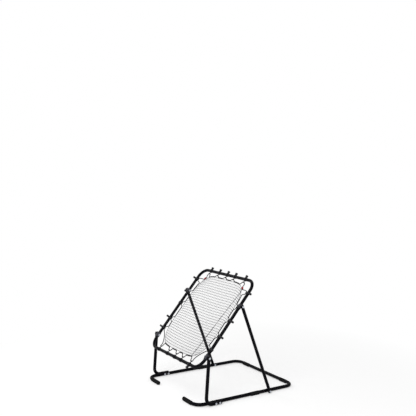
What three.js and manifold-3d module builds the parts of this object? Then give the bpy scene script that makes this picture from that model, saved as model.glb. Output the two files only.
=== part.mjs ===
// A free-standing multi-sport rebounder: a net laced into a tilted tube frame, held up by two
// posts in front and two struts behind, on a C-shaped tube base that lies open at the front.
// Millimetres. +X is to the right seen from the front, +Y to the rear, +Z up.
// The origin is on the floor in the middle of the base.
import * as THREE from 'three';
import { mergeVertices } from 'three/addons/utils/BufferGeometryUtils.js';
import Module from 'manifold-3d';

const wasm = await Module();
wasm.setup();

// Base tubes
const baseDepth = 1193;
const baseTubeRadius = 16;
const tubeWall = 1.5;
const baseBendRadius = 90;
const hookReach = 230;
const railJointFromRear = 505;
const swagedLength = 60;
const swageNeckLength = 20;

// Rubber feet
const footSole = 3;
const footSoleHalfWidth = 12;
const hookSleeveLength = 140;
const railFootLength = 105;
const rearFootFromRail = 162.5;

// Posts
const postTubeRadius = 16;
const postLean = THREE.MathUtils.degToRad(3.1);
const postBendRadius = 65;
const pivotHeight = 468;
const pivotFromFront = 111.5;
const postTopOverhang = 17;
const postFootEndFromFront = 262;
const postBoltFromEnd = 24;
const postBoltPitch = 44;

// Struts
const strutTubeRadius = 15;
const strutFootFromRear = 339;
const strutOverhang = 13;

// Net frame, measured between the tube's centre lines
const netTilt = THREE.MathUtils.degToRad(50);
const netTubeRadius = 15;
const netFrameWidth = 972;
const netFrameLength = 1017;
const netBendRadius = 105;
const pivotFromBottomBar = 134;
const collarFromTopBar = 291;

// Collars on the net frame
const collarWall = 4.5;
const collarOutboard = 22.5;
const collarHalfDepth = 20;
const strutCollarLength = 30;
const pivotCollarLength = 50;

// Fasteners
const boltRadius = 4;
const headRadius = 12;
const headHeight = 11;
const nutRadius = 7.5;
const nutHeight = 7;
const flangeRadius = 11;
const flangeThickness = 2;
const boltTail = 4;
const lockTipGap = 0.6;

// End caps
const capPlugLength = 7;
const capFlange = 2;
const capDome = 2;
const bootEndThickness = 10;
const endPlateThickness = 2;

// Lacing cord and its tube hooks
const cordRadius = 3.5;
const hookWidth = 15;
const hookWall = 4;
const hookMouth = THREE.MathUtils.degToRad(80);
const eyeFromTube = 36;
const eyeWall = 2.8;
const neckHalfWidth = 2.8;
const pegHalfWidth = 6;
const pegKnobHalfWidth = 8;
const pegKnobFrom = 30;
const pegKnobLead = 3;
const pegReach = 45;
const hookToCollarGap = 1;
const ferruleRadius = 9;
const ferruleLength = 24;
const cordLead = 3;
const laceRamp = 26;
const laceToNetGap = 0.5;
const cornerSlackX = 18;
const cornerSlackY = 9;
const riseShare = 0.7;

// Places of the hooks along the bars, as shares of the half width or of the length
const topHookShares = [-0.663, -0.333, -0.02, 0.27, 0.646];
const bottomHookShares = [-0.626, -0.257, 0.045, 0.305, 0.64];
const leftHookShares = [0.225, 0.349, 0.546, 0.866];
const rightHookShares = [0.212, 0.358, 0.538, 0.862];

// How far each hook's peg is turned from outwards towards the net's face, in degrees
const topPegTurns = [8, 8, 8, 8, 8];
const leftPegTurns = [53, 30, -20, 76, 40];
const bottomPegTurns = [80, 80, 80, 80, 8];
const rightPegTurns = [30, -9, -10, 45, -2];

// Net
const netColumns = 10;
const netRows = 16;
const netStrand = 3;
const netSideGap = 71;
const netShift = 7.5;
const netBottomGap = 72;
const netTopGap = 60;
const netCornerRise = 22;
const netCornerDrop = 49;
const netSag = 42;
const netBottomTaperShare = 0.29;
const netTopTaperShare = 0.183;
const netTaperPower = 4.5;

// Clearances
const seatGap = 0.3;
const runGap = 0.3;
const strutHoleGap = 1.2;
const overrun = 5;

// Numbers of sides and steps of round surfaces
const tubeSides = 12;
const boreSides = 8;
const cordSides = 6;
const bendSteps = 5;
const hookArcStep = Math.PI / 4;
const laceSteps = 4;
const laceBendSteps = 3;
const laceCornerSteps = 5;

// Worked-out places
const netSideX = netFrameWidth / 2;
const railX = netSideX + collarOutboard - baseTubeRadius;
const railZ = baseTubeRadius + footSole;
const footRadius = baseTubeRadius + footSole;
const frontY = -baseDepth / 2;
const rearY = baseDepth / 2;
const railJointY = rearY - railJointFromRear;
const hookEndX = railX - hookReach;
const postX = railX + baseTubeRadius + postTubeRadius + seatGap;
const strutX = railX + baseTubeRadius + strutTubeRadius + seatGap;
const pivotY = frontY + pivotFromFront;
const strutFootY = rearY - strutFootFromRear;
const flatBoreShare = Math.cos(Math.PI / tubeSides);
const boreFlatShare = Math.cos(Math.PI / boreSides);
const rearFootX = railX - rearFootFromRail;
const postFootEndY = frontY + postFootEndFromFront;
const postBoltPlaces = [postFootEndY - postBoltFromEnd - postBoltPitch, postFootEndY - postBoltFromEnd];
const eyeRadius = (cordRadius + seatGap) / boreFlatShare;
const collarFromBottomBar = netFrameLength - collarFromTopBar;
const netHalfWidth = netSideX - netSideGap;
const netTop = netFrameLength - netTopGap;
const collarToPivot = collarFromBottomBar - pivotFromBottomBar;
const strutTopY = pivotY + collarToPivot * Math.cos(netTilt);
const strutTopZ = pivotHeight + collarToPivot * Math.sin(netTilt);
const strutLength = Math.hypot(strutFootY - strutTopY, strutTopZ - railZ);
const strutLean = Math.atan2(strutFootY - strutTopY, strutTopZ - railZ);

const vec = (x, y, z) => new THREE.Vector3(x, y, z);

// Finishes
const finishes = {
  blackTube: { color: 0x17171b, roughness: 0.42, metalness: 0.35 },
  blackPlastic: { color: 0x141416, roughness: 0.6, metalness: 0 },
  greyPlastic: { color: 0x3b3b42, roughness: 0.62, metalness: 0 },
  blackRubber: { color: 0x1b1b1c, roughness: 0.88, metalness: 0 },
  zincSteel: { color: 0xb4b8bd, roughness: 0.3, metalness: 0.95 },
  elasticCord: { color: 0x222224, roughness: 0.85, metalness: 0 },
  redPlastic: { color: 0xb01822, roughness: 0.5, metalness: 0 },
  netTwine: { color: 0x444548, roughness: 0.8, metalness: 0 },
};

function addPiece(parent, name, geometry, finish, place = vec(0, 0, 0)) {
  const piece = new THREE.Mesh(geometry, new THREE.MeshStandardMaterial(finishes[finish]));
  piece.name = name;
  piece.position.copy(place);
  parent.add(piece);
  return piece;
}

// Solids: closed meshes become manifold solids for cuts and joins, and come back as geometry
function toSolid(geometry) {
  const bare = geometry.index ? geometry.toNonIndexed() : geometry.clone();
  bare.deleteAttribute('normal');
  bare.deleteAttribute('uv');
  const merged = mergeVertices(bare);
  return new wasm.Manifold(new wasm.Mesh({
    numProp: 3,
    vertProperties: new Float32Array(merged.attributes.position.array),
    triVerts: new Uint32Array(merged.index.array),
  }));
}

function toGeometry(solid) {
  const mesh = solid.getMesh();
  const geometry = new THREE.BufferGeometry();
  geometry.setAttribute('position', new THREE.BufferAttribute(mesh.vertProperties, mesh.numProp));
  geometry.setIndex(new THREE.BufferAttribute(mesh.triVerts, 1));
  return geometry;
}

function cut(geometry, cutters) {
  const rest = cutters.reduce((solid, cutter) => solid.subtract(toSolid(cutter)), toSolid(geometry));
  return toGeometry(rest);
}

function join(geometries) {
  const [first, ...rest] = geometries.map(toSolid);
  const whole = rest.reduce((solid, next) => solid.add(next), first);
  return toGeometry(whole);
}

// Round sections. A polygon's corners lie on the given radius.
function circlePoints(radius, sides, from = 0, sweep = 2 * Math.PI, closed = true) {
  const count = closed ? sides : sides + 1;
  return Array.from({ length: count }, (_, index) => {
    const angle = from + sweep * index / sides;
    return new THREE.Vector2(radius * Math.cos(angle), radius * Math.sin(angle));
  });
}

function ringShape(outerRadius, innerRadius, sides) {
  const shape = new THREE.Shape(circlePoints(outerRadius, sides));
  shape.holes.push(new THREE.Path(circlePoints(innerRadius, sides)));
  return shape;
}

// A route through given points, which an extrusion follows corner by corner
class PointRoute extends THREE.Curve {
  constructor(points) {
    super();
    this.points = points;
  }

  getPoint(share, target = new THREE.Vector3()) {
    return target.copy(this.points[Math.round(share * (this.points.length - 1))]);
  }

  getPointAt(share, target) {
    return this.getPoint(share, target);
  }

  getTangent(share, target = new THREE.Vector3()) {
    const last = this.points.length - 1;
    const place = Math.round(share * last);
    const run = (from, to) => this.points[to].clone().sub(this.points[from]).normalize();
    target.set(0, 0, 0);
    if (place > 0) {
      target.add(run(place - 1, place));
    }
    if (place < last) {
      target.add(run(place, place + 1));
    }
    return target.normalize();
  }

  getTangentAt(share, target) {
    return this.getTangent(share, target);
  }
}

function sweep(shape, points) {
  const extrudePath = new PointRoute(points);
  return new THREE.ExtrudeGeometry(shape, { steps: points.length - 1, extrudePath });
}

// Corner points joined by arcs of one bend radius
function bentRoute(corners, bendRadius) {
  const route = [corners[0].clone()];
  for (let index = 1; index < corners.length - 1; index += 1) {
    const corner = corners[index];
    const back = corners[index - 1].clone().sub(corner).normalize();
    const onward = corners[index + 1].clone().sub(corner).normalize();
    const halfAngle = back.angleTo(onward) / 2;
    const middle = back.clone().add(onward).normalize();
    const centre = corner.clone().addScaledVector(middle, bendRadius / Math.sin(halfAngle));
    const start = corner.clone().addScaledVector(back, bendRadius / Math.tan(halfAngle)).sub(centre);
    const axis = start.clone().cross(middle.clone().negate()).normalize();
    const turn = Math.PI - 2 * halfAngle;
    for (let step = 0; step <= bendSteps; step += 1) {
      route.push(start.clone().applyAxisAngle(axis, turn * step / bendSteps).add(centre));
    }
  }
  route.push(corners[corners.length - 1].clone());
  return route;
}

function tube(corners, radius, bendRadius = 0) {
  const route = corners.length > 2 ? bentRoute(corners, bendRadius) : corners;
  return sweep(ringShape(radius, radius - tubeWall, tubeSides), route);
}

// A round bar along X, for cross holes and studs
function crossBar(fromX, toX, radius, y = 0, z = 0, sides = boreSides) {
  const bar = new THREE.CylinderGeometry(radius, radius, toX - fromX, sides);
  bar.rotateZ(-Math.PI / 2);
  bar.translate((fromX + toX) / 2, y, z);
  return bar;
}

function crossHole(fromX, toX, radius, y = 0, z = 0) {
  return crossBar(Math.min(fromX, toX) - overrun, Math.max(fromX, toX) + overrun, radius, y, z);
}

// Fasteners lie along X: each bolt's head is on its -X side, and its nut on the +X side
const boltHoleRadius = (boltRadius + runGap) / boreFlatShare;

function domedBolt(gripLength, tailLength) {
  const bolt = new THREE.LatheGeometry([
    new THREE.Vector2(0, -headHeight),
    new THREE.Vector2(headRadius - flangeThickness, -headHeight),
    new THREE.Vector2(headRadius, -headHeight + flangeThickness * 2),
    new THREE.Vector2(headRadius, 0),
    new THREE.Vector2(boltRadius, 0),
    new THREE.Vector2(boltRadius, gripLength + tailLength),
    new THREE.Vector2(0, gripLength + tailLength),
  ], boreSides);
  bolt.rotateZ(-Math.PI / 2);
  return bolt;
}

function nutParts(faceX) {
  const body = crossBar(faceX, faceX + nutHeight, nutRadius, 0, 0, 6);
  const flange = crossBar(faceX, faceX + flangeThickness, flangeRadius);
  return [body, flange];
}

const boltEndLength = nutHeight + boltTail + seatGap;

// A bolt with its nut run up to the far face of what it holds
function boltWithNut(gripLength) {
  const nutFace = gripLength + seatGap;
  return join([domedBolt(gripLength, boltEndLength), ...nutParts(nutFace)]);
}

// A plug whose flange closes a tube's end, along +Y from the tube's end plane
function endCap(tubeRadius, dome) {
  const plugRadius = (tubeRadius - tubeWall) * flatBoreShare - seatGap;
  const cap = new THREE.LatheGeometry([
    new THREE.Vector2(0, -capPlugLength),
    new THREE.Vector2(plugRadius, -capPlugLength),
    new THREE.Vector2(plugRadius, seatGap),
    new THREE.Vector2(tubeRadius, seatGap),
    new THREE.Vector2(tubeRadius, capFlange),
    new THREE.Vector2(tubeRadius - capDome, capFlange + dome),
    new THREE.Vector2(0, capFlange + dome),
  ], tubeSides);
  return cap;
}

// A welded plate that closes a tube's end at y = 0, with the tube in front of it
function endPlate(tubeRadius) {
  const plate = new THREE.CylinderGeometry(tubeRadius, tubeRadius, endPlateThickness, tubeSides);
  return plate;
}

// The section of a rubber foot: round above, with a flat sole below
function footOutline() {
  const soleAngle = Math.atan2(footSoleHalfWidth, footRadius) + Math.PI / 6;
  const from = -Math.PI / 2 + soleAngle;
  const outline = circlePoints(footRadius, 10, from, 2 * Math.PI - 2 * soleAngle, false);
  outline.push(new THREE.Vector2(-footSoleHalfWidth, -footRadius));
  outline.push(new THREE.Vector2(footSoleHalfWidth, -footRadius));
  return outline;
}

const footBoreRadius = (baseTubeRadius + seatGap) / flatBoreShare;

// A rubber sleeve with a flat sole, round a tube that runs along Y
function footSleeve(length) {
  const shape = new THREE.Shape(footOutline());
  shape.holes.push(new THREE.Path(circlePoints(footBoreRadius, tubeSides)));
  const sleeve = new THREE.ExtrudeGeometry(shape, { depth: length, bevelEnabled: false });
  sleeve.translate(0, 0, -length / 2);
  sleeve.rotateX(Math.PI / 2);
  return sleeve;
}

// A rubber boot with a flat sole and a closed end, pushed over a tube's end. The tube runs along X
// from the origin, to the side given by the sign.
function footBoot(sign) {
  const depth = bootEndThickness + hookSleeveLength;
  const boot = new THREE.ExtrudeGeometry(new THREE.Shape(footOutline()), { depth, bevelEnabled: false });
  boot.translate(0, 0, -bootEndThickness - seatGap);
  const bore = new THREE.ExtrudeGeometry(new THREE.Shape(circlePoints(footBoreRadius, tubeSides)), {
    depth: hookSleeveLength + overrun,
    bevelEnabled: false,
  });
  bore.translate(0, 0, -seatGap);
  return cut(boot, [bore]).rotateX(Math.PI / 2).rotateZ(sign * Math.PI / 2);
}

// The base, with the pieces that stay on it
function buildBase(parent) {
  const outer = railX + baseTubeRadius;
  const strutHole = crossHole(-outer, outer, boltHoleRadius, strutFootY, railZ);
  const rearTube = tube([
    vec(-railX, railJointY + seatGap, railZ),
    vec(-railX, rearY, railZ),
    vec(railX, rearY, railZ),
    vec(railX, railJointY + seatGap, railZ),
  ], baseTubeRadius, baseBendRadius);
  addPiece(parent, 'rear_base_tube', cut(rearTube, [strutHole]), 'blackTube');

  for (const [side, sign] of [['left', -1], ['right', 1]]) {
    addPiece(parent, `${side}_front_base_tube`, frontBaseTube(sign), 'blackTube');
    const hookEnd = vec(sign * hookEndX, frontY, railZ);
    addPiece(parent, `${side}_hook_boot`, footBoot(sign), 'blackRubber', hookEnd);
    addPiece(parent, `${side}_rail_foot`, footSleeve(railFootLength), 'blackRubber',
      vec(sign * railX, railJointY, railZ));
    addPiece(parent, `${side}_rear_foot`, footSleeve(railFootLength).rotateZ(Math.PI / 2), 'blackRubber',
      vec(sign * rearFootX, rearY, railZ));
  }
}

// A J-shaped front tube. Its rear end is swaged down to push into the rear tube.
function frontBaseTube(sign) {
  const outside = tube([
    vec(sign * railX, railJointY - seatGap, railZ),
    vec(sign * railX, frontY, railZ),
    vec(sign * hookEndX, frontY, railZ),
  ], baseTubeRadius, baseBendRadius);
  const swagedRadius = (baseTubeRadius - tubeWall) * flatBoreShare - seatGap;
  const neckFrom = vec(sign * railX, railJointY - swageNeckLength, railZ);
  const neckRing = ringShape(baseTubeRadius - tubeWall / 2, swagedRadius - tubeWall, tubeSides);
  const neck = sweep(neckRing, [neckFrom, vec(sign * railX, railJointY - seatGap, railZ)]);
  const swaged = tube([neckFrom, vec(sign * railX, railJointY + swagedLength, railZ)], swagedRadius);
  const holes = postBoltPlaces.map((y) => crossHole(
    sign * (railX - baseTubeRadius),
    sign * (railX + baseTubeRadius),
    boltHoleRadius,
    y,
    railZ,
  ));
  return cut(join([outside, neck, swaged]), holes);
}

// A post: upright with a slight lean, bent rearwards at the foot to lie along the rail
function buildPost(parent, side, sign) {
  const upright = vec(0, Math.sin(postLean), Math.cos(postLean));
  const pivot = vec(sign * postX, pivotY, pivotHeight);
  const topEnd = pivot.clone().addScaledVector(upright, postTopOverhang);
  const heelDrop = (pivotHeight - railZ) / Math.cos(postLean);
  const heel = pivot.clone().addScaledVector(upright, -heelDrop);
  const footEnd = vec(sign * postX, postFootEndY, railZ);
  const inner = sign * (postX - postTubeRadius);
  const outer = sign * (postX + postTubeRadius);
  const holes = postBoltPlaces.map((y) => crossHole(inner, outer, boltHoleRadius, y, railZ));
  holes.push(crossHole(inner, outer, boltHoleRadius, pivotY, pivotHeight));
  const footPlate = endPlate(postTubeRadius).translate(footEnd.x, footEnd.y, footEnd.z);
  const bentTube = tube([topEnd, heel, footEnd], postTubeRadius, postBendRadius);
  const post = cut(join([bentTube, footPlate]), holes);
  addPiece(parent, `${side}_post`, post, 'blackTube');

  const cap = endCap(postTubeRadius, capDome);
  const topCap = addPiece(parent, `${side}_post_top_cap`, cap, 'blackPlastic', topEnd);
  topCap.rotation.x = Math.PI / 2 - postLean;
}

// The bolts that stay on the base. Every head is on the bolt's -X side.
function buildBaseFasteners(parent) {
  const railInner = railX - baseTubeRadius;
  const postOuter = postX + postTubeRadius;
  const strutOuter = strutX + strutTubeRadius;
  const collarInner = netSideX - netTubeRadius - runGap - collarWall;
  const rows = [
    ['front_post_foot_bolt', railInner, postOuter, postBoltPlaces[0], railZ],
    ['rear_post_foot_bolt', railInner, postOuter, postBoltPlaces[1], railZ],
    ['strut_foot_bolt', railInner, strutOuter, strutFootY, railZ],
    ['pivot_bolt', collarInner, postOuter, pivotY, pivotHeight],
  ];
  for (const [name, inner, outer, y, z] of rows) {
    const bolt = boltWithNut(outer - inner + seatGap);
    addPiece(parent, `left_${name}`, bolt, 'zincSteel', vec(-outer - seatGap, y, z));
    addPiece(parent, `right_${name}`, bolt.clone(), 'zincSteel', vec(inner - seatGap, y, z));
  }
}

// A strut, drawn upright from its foot bolt and then leaned forward about it
function buildStrut(parent, side, sign) {
  const strutGroup = new THREE.Group();
  strutGroup.position.set(sign * strutX, strutFootY, railZ);
  strutGroup.rotation.x = strutLean;
  parent.add(strutGroup);
  const topEnd = vec(0, 0, strutLength + strutOverhang);
  const bottomEnd = vec(0, 0, -strutOverhang);
  const footHole = crossHole(-strutTubeRadius, strutTubeRadius, boltHoleRadius);
  const topHoleRadius = (boltRadius + strutHoleGap) / boreFlatShare;
  const topHole = crossHole(-strutTubeRadius, strutTubeRadius, topHoleRadius, 0, strutLength);
  const footPlate = endPlate(strutTubeRadius).rotateX(Math.PI / 2).translate(0, 0, -strutOverhang);
  const strut = cut(join([tube([topEnd, bottomEnd], strutTubeRadius), footPlate]), [footHole, topHole]);
  addPiece(strutGroup, `${side}_strut`, strut, 'blackTube');
  const cap = endCap(strutTubeRadius, capDome);
  const topCap = addPiece(strutGroup, `${side}_strut_top_cap`, cap, 'blackPlastic', topEnd);
  topCap.rotation.x = Math.PI / 2;
}

// The net frame is drawn flat: x across, y up along its sides from the bottom bar,
// z out of the net's face
function buildNetFrame(parent) {
  const netGroup = new THREE.Group();
  netGroup.position.set(
    0,
    pivotY - pivotFromBottomBar * Math.cos(netTilt),
    pivotHeight - pivotFromBottomBar * Math.sin(netTilt),
  );
  netGroup.rotation.x = netTilt;
  parent.add(netGroup);

  const outer = netSideX + netTubeRadius;
  const pivotHole = crossHole(-outer, outer, boltHoleRadius, pivotFromBottomBar);
  const half = (endY) => tube([
    vec(-netSideX, netFrameLength / 2, 0),
    vec(-netSideX, endY, 0),
    vec(netSideX, endY, 0),
    vec(netSideX, netFrameLength / 2, 0),
  ], netTubeRadius, netBendRadius);
  const frame = cut(join([half(0), half(netFrameLength)]), [pivotHole]);
  addPiece(netGroup, 'net_frame', frame, 'blackTube');
  return netGroup;
}

// A collar round a side tube of the net frame, flat towards the post or strut that it meets
function collar(length, outerFace, sign, outerHoleRadius, innerHoleRadius) {
  const inner = netTubeRadius + runGap + collarWall;
  const outline = [
    new THREE.Vector2(outerFace, -collarHalfDepth),
    new THREE.Vector2(outerFace, collarHalfDepth),
    new THREE.Vector2(-inner / 2, collarHalfDepth),
    new THREE.Vector2(-inner, collarHalfDepth / 2),
    new THREE.Vector2(-inner, -collarHalfDepth / 2),
    new THREE.Vector2(-inner / 2, -collarHalfDepth),
  ];
  const shape = new THREE.Shape(outline);
  shape.holes.push(new THREE.Path(circlePoints((netTubeRadius + runGap) / flatBoreShare, tubeSides)));
  const body = new THREE.ExtrudeGeometry(shape, { depth: length, bevelEnabled: false });
  body.translate(0, 0, -length / 2);
  body.rotateX(Math.PI / 2);
  if (sign < 0) body.rotateZ(Math.PI);
  const outerHole = crossHole(sign * netTubeRadius, sign * outerFace, outerHoleRadius);
  const innerHole = crossHole(-sign * netTubeRadius, -sign * inner, innerHoleRadius);
  return cut(body, [outerHole, innerHole]);
}

function buildPivotCollar(netGroup, side, sign) {
  const body = collar(pivotCollarLength, collarOutboard, sign, boltHoleRadius, boltHoleRadius);
  const place = vec(sign * netSideX, pivotFromBottomBar, 0);
  addPiece(netGroup, `${side}_pivot_collar`, body, 'greyPlastic', place);
}

// The sliding collar that carries the strut's top bolt, and the screw that locks it on the tube
function buildStrutCollar(netGroup, side, sign) {
  const place = vec(sign * netSideX, collarFromBottomBar, 0);
  const body = collar(strutCollarLength, collarOutboard, sign, boltHoleRadius, boltHoleRadius);
  addPiece(netGroup, `${side}_strut_collar`, body, 'greyPlastic', place);

  const strutFace = strutX + strutTubeRadius + seatGap - netSideX;
  const tip = netTubeRadius + lockTipGap;
  const innerFace = netTubeRadius + runGap + collarWall + seatGap;
  if (sign < 0) {
    const bolt = domedBolt(strutFace - tip, 0).translate(-strutFace, 0, 0);
    addPiece(netGroup, `${side}_strut_top_bolt`, bolt, 'blackPlastic', place);
    const lockHead = crossBar(innerFace, innerFace + nutHeight, nutRadius, 0, 0, 6);
    const lockShank = crossBar(tip, innerFace + nutHeight / 2, boltRadius);
    addPiece(netGroup, `${side}_collar_lock_screw`, join([lockHead, lockShank]), 'zincSteel', place);
  } else {
    const stud = crossBar(tip, strutFace + boltEndLength, boltRadius);
    const bolt = join([stud, ...nutParts(strutFace)]);
    addPiece(netGroup, `${side}_strut_top_bolt`, bolt, 'zincSteel', place);
    const lock = domedBolt(innerFace - tip, 0).translate(-innerFace, 0, 0);
    addPiece(netGroup, `${side}_collar_lock_screw`, lock, 'blackPlastic', place);
  }
}

// A point of a hook's side view, which has x outwards from the net and y away from the hook's mouth
function hookPoint(radius, angle, centreX = 0) {
  return new THREE.Vector2(centreX + radius * Math.cos(angle), radius * Math.sin(angle));
}

// A hook's peg, knobbed at its tip and turned from outwards towards the face
function pegOutline(rootAngle, ringOuter, pegTurn) {
  const outline = [
    hookPoint(ringOuter, -rootAngle),
    new THREE.Vector2(pegKnobFrom, -pegHalfWidth),
    new THREE.Vector2(pegKnobFrom + pegKnobLead, -pegKnobHalfWidth),
    new THREE.Vector2(pegReach - pegKnobLead, -pegKnobHalfWidth),
    new THREE.Vector2(pegReach, -pegHalfWidth),
    new THREE.Vector2(pegReach, pegHalfWidth),
    new THREE.Vector2(pegReach - pegKnobLead, pegKnobHalfWidth),
    new THREE.Vector2(pegKnobFrom + pegKnobLead, pegKnobHalfWidth),
    new THREE.Vector2(pegKnobFrom, pegHalfWidth),
    hookPoint(ringOuter, rootAngle),
  ];
  return outline.map((point) => point.rotateAround(new THREE.Vector2(), pegTurn));
}

// The corners of an arc between its two ends, without the ends
function arcBetween(radius, from, to) {
  const steps = Math.ceil((to - from) / hookArcStep);
  return circlePoints(radius, steps, from, to - from, false).slice(1, -1);
}

// A snap-on hook: open ring round the tube, peg outwards (+y), eye inwards (-y), tube along x
function tubeHook(pegTurn) {
  const ringInner = (netTubeRadius + seatGap) / flatBoreShare;
  const ringOuter = ringInner + hookWall;
  const eyeOuter = eyeRadius + eyeWall;
  const from = -Math.PI / 2 + hookMouth / 2;
  const to = from + 2 * Math.PI - hookMouth;
  const pegAngle = Math.asin(pegHalfWidth / ringOuter);
  const neckAngle = Math.asin(neckHalfWidth / ringOuter);
  const eyeAngle = Math.asin(neckHalfWidth / eyeOuter);
  const toEye = (point) => point.setX(point.x - eyeFromTube);
  const outline = [
    hookPoint(ringOuter, from),
    ...arcBetween(ringOuter, from, pegTurn - pegAngle),
    ...pegOutline(pegAngle, ringOuter, pegTurn),
    ...arcBetween(ringOuter, pegTurn + pegAngle, Math.PI - neckAngle),
    hookPoint(ringOuter, Math.PI - neckAngle),
    hookPoint(eyeOuter, eyeAngle, -eyeFromTube),
    ...circlePoints(eyeOuter, 5, Math.PI / 3, 4 * Math.PI / 3, false).map(toEye),
    hookPoint(eyeOuter, -eyeAngle, -eyeFromTube),
    hookPoint(ringOuter, Math.PI + neckAngle),
    hookPoint(ringOuter, to),
    ...circlePoints(ringInner, 9, from, to - from, false).reverse(),
  ];
  const shape = new THREE.Shape(outline);
  const eye = circlePoints(eyeRadius, boreSides, Math.PI / boreSides).map(toEye);
  shape.holes.push(new THREE.Path(eye));
  const hook = new THREE.ExtrudeGeometry(shape, { depth: hookWidth, bevelEnabled: false });
  hook.translate(0, 0, -hookWidth / 2);
  return hook.rotateY(Math.PI / 2).rotateX(Math.PI / 2);
}

const secondHookPlace = collarFromBottomBar - strutCollarLength / 2 - hookToCollarGap - hookWidth / 2;
function sidePlaces(shares) {
  const places = shares.map((share) => share * netFrameLength);
  return [...places, secondHookPlace].sort((a, b) => a - b);
}

// The four rows of hooks, each from its first to its last as the lacing meets them
const acrossPlaces = (shares, y) => shares.map((share) => vec(share * netSideX, y, 0));
const upPlaces = (shares, x) => sidePlaces(shares).map((y) => vec(x, y, 0));
const hookRows = [
  {
    name: 'top_net_hook',
    spots: acrossPlaces(topHookShares, netFrameLength),
    outward: vec(0, 1, 0),
    pegTurns: topPegTurns,
  },
  {
    name: 'left_net_hook',
    spots: upPlaces(leftHookShares, -netSideX).toReversed(),
    outward: vec(-1, 0, 0),
    pegTurns: leftPegTurns,
  },
  {
    name: 'bottom_net_hook',
    spots: acrossPlaces(bottomHookShares, 0),
    outward: vec(0, -1, 0),
    pegTurns: bottomPegTurns,
  },
  {
    name: 'right_net_hook',
    spots: upPlaces(rightHookShares, netSideX),
    outward: vec(1, 0, 0),
    pegTurns: rightPegTurns,
  },
];

function buildHooks(netGroup) {
  for (const { name, spots, outward, pegTurns } of hookRows) {
    const turn = Math.atan2(outward.y, outward.x) - Math.PI / 2;
    spots.forEach((spot, index) => {
      const hook = tubeHook(THREE.MathUtils.degToRad(pegTurns[index])).rotateZ(turn);
      addPiece(netGroup, `${name}_${index + 1}`, hook, 'blackPlastic', spot);
    });
  }
}

// The net's surface over (across, up), each from 0 to 1: a barrel outline that sags in the middle
function netPoint(across, up) {
  const side = 2 * across - 1;
  const end = 2 * up - 1;
  const taper = end > 0 ? netTopTaperShare : netBottomTaperShare;
  const halfWidth = netHalfWidth * (1 - taper * Math.abs(end) ** netTaperPower);
  const low = netBottomGap + netCornerRise * side ** 4;
  const high = netTop - netCornerDrop * side ** 6;
  const sag = netSag * Math.cos(side * Math.PI / 2) * Math.sin(Math.PI * up ** 0.8);
  return vec(netShift + side * halfWidth, low + (high - low) * up, -sag);
}

// A closed grid of square strands. Each knot has four corners on top and four below.
function netGeometry() {
  const half = netStrand / 2;
  const corners = [[-1, -1], [1, -1], [1, 1], [-1, 1]];
  const positions = [];
  for (let row = 0; row <= netRows; row += 1) {
    for (let column = 0; column <= netColumns; column += 1) {
      const knot = netPoint(column / netColumns, row / netRows);
      for (const level of [half, -half]) {
        for (const [a, b] of corners) {
          positions.push(knot.x + a * half, knot.y + b * half, knot.z + level);
        }
      }
    }
  }
  const at = (column, row, corner, level) => {
    const knot = row * (netColumns + 1) + column;
    return (knot * 2 + level) * 4 + corner;
  };
  const triangles = [];
  const quad = (a, b, c, d) => triangles.push(a, b, c, a, c, d);
  const bothFaces = (ring) => {
    quad(...ring.map((place) => at(...place, 0)));
    quad(...ring.map((place) => at(...place, 1)).reverse());
  };
  const wall = (a, b) => quad(at(...a, 0), at(...b, 0), at(...b, 1), at(...a, 1));
  for (let row = 0; row <= netRows; row += 1) {
    for (let column = 0; column <= netColumns; column += 1) {
      bothFaces([[column, row, 0], [column, row, 1], [column, row, 2], [column, row, 3]]);
      if (column < netColumns) {
        bothFaces([[column, row, 1], [column + 1, row, 0], [column + 1, row, 3], [column, row, 2]]);
        if (row > 0) {
          wall([column + 1, row, 0], [column, row, 1]);
        }
        if (row < netRows) {
          wall([column, row, 2], [column + 1, row, 3]);
        }
      }
      if (row < netRows) {
        bothFaces([[column, row, 3], [column, row, 2], [column, row + 1, 1], [column, row + 1, 0]]);
        if (column > 0) {
          wall([column, row, 3], [column, row + 1, 0]);
        }
        if (column < netColumns) {
          wall([column, row + 1, 1], [column, row, 2]);
        }
      }
    }
  }
  const columns = Array.from({ length: netColumns + 1 }, (_, column) => column);
  const rows = Array.from({ length: netRows + 1 }, (_, row) => row);
  const outline = [
    ...columns.flatMap((column) => [[column, 0, 0], [column, 0, 1]]),
    ...rows.flatMap((row) => [[netColumns, row, 1], [netColumns, row, 2]]),
    ...columns.toReversed().flatMap((column) => [[column, netRows, 2], [column, netRows, 3]]),
    ...rows.toReversed().flatMap((row) => [[0, row, 3], [0, row, 0]]),
  ];
  outline.forEach((place, index) => {
    const next = outline[(index + 1) % outline.length];
    if (place.join() !== next.join()) {
      wall(next, place);
    }
  });
  const geometry = new THREE.BufferGeometry();
  geometry.setAttribute('position', new THREE.Float32BufferAttribute(positions, 3));
  geometry.setIndex(triangles);
  return geometry;
}

// Where the lacing touches the net's edge: outside the edge strand by the cord's radius and a gap
const cordToEdge = netStrand / 2 + cordRadius + laceToNetGap;

function edgeTouch(spot, outward) {
  if (outward.x === 0) {
    const end = outward.y > 0 ? 1 : 0;
    const across = THREE.MathUtils.inverseLerp(netPoint(0, end).x, netPoint(1, end).x, spot.x);
    const edge = netPoint(Math.min(Math.max(across, 0), 1), end);
    return vec(spot.x, edge.y + outward.y * cordToEdge, 0);
  }
  const up = (spot.y - netBottomGap) / (netTop - netBottomGap);
  const edge = netPoint(outward.x > 0 ? 1 : 0, Math.min(Math.max(up, 0), 1));
  return vec(edge.x + outward.x * cordToEdge, spot.y, 0);
}

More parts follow.
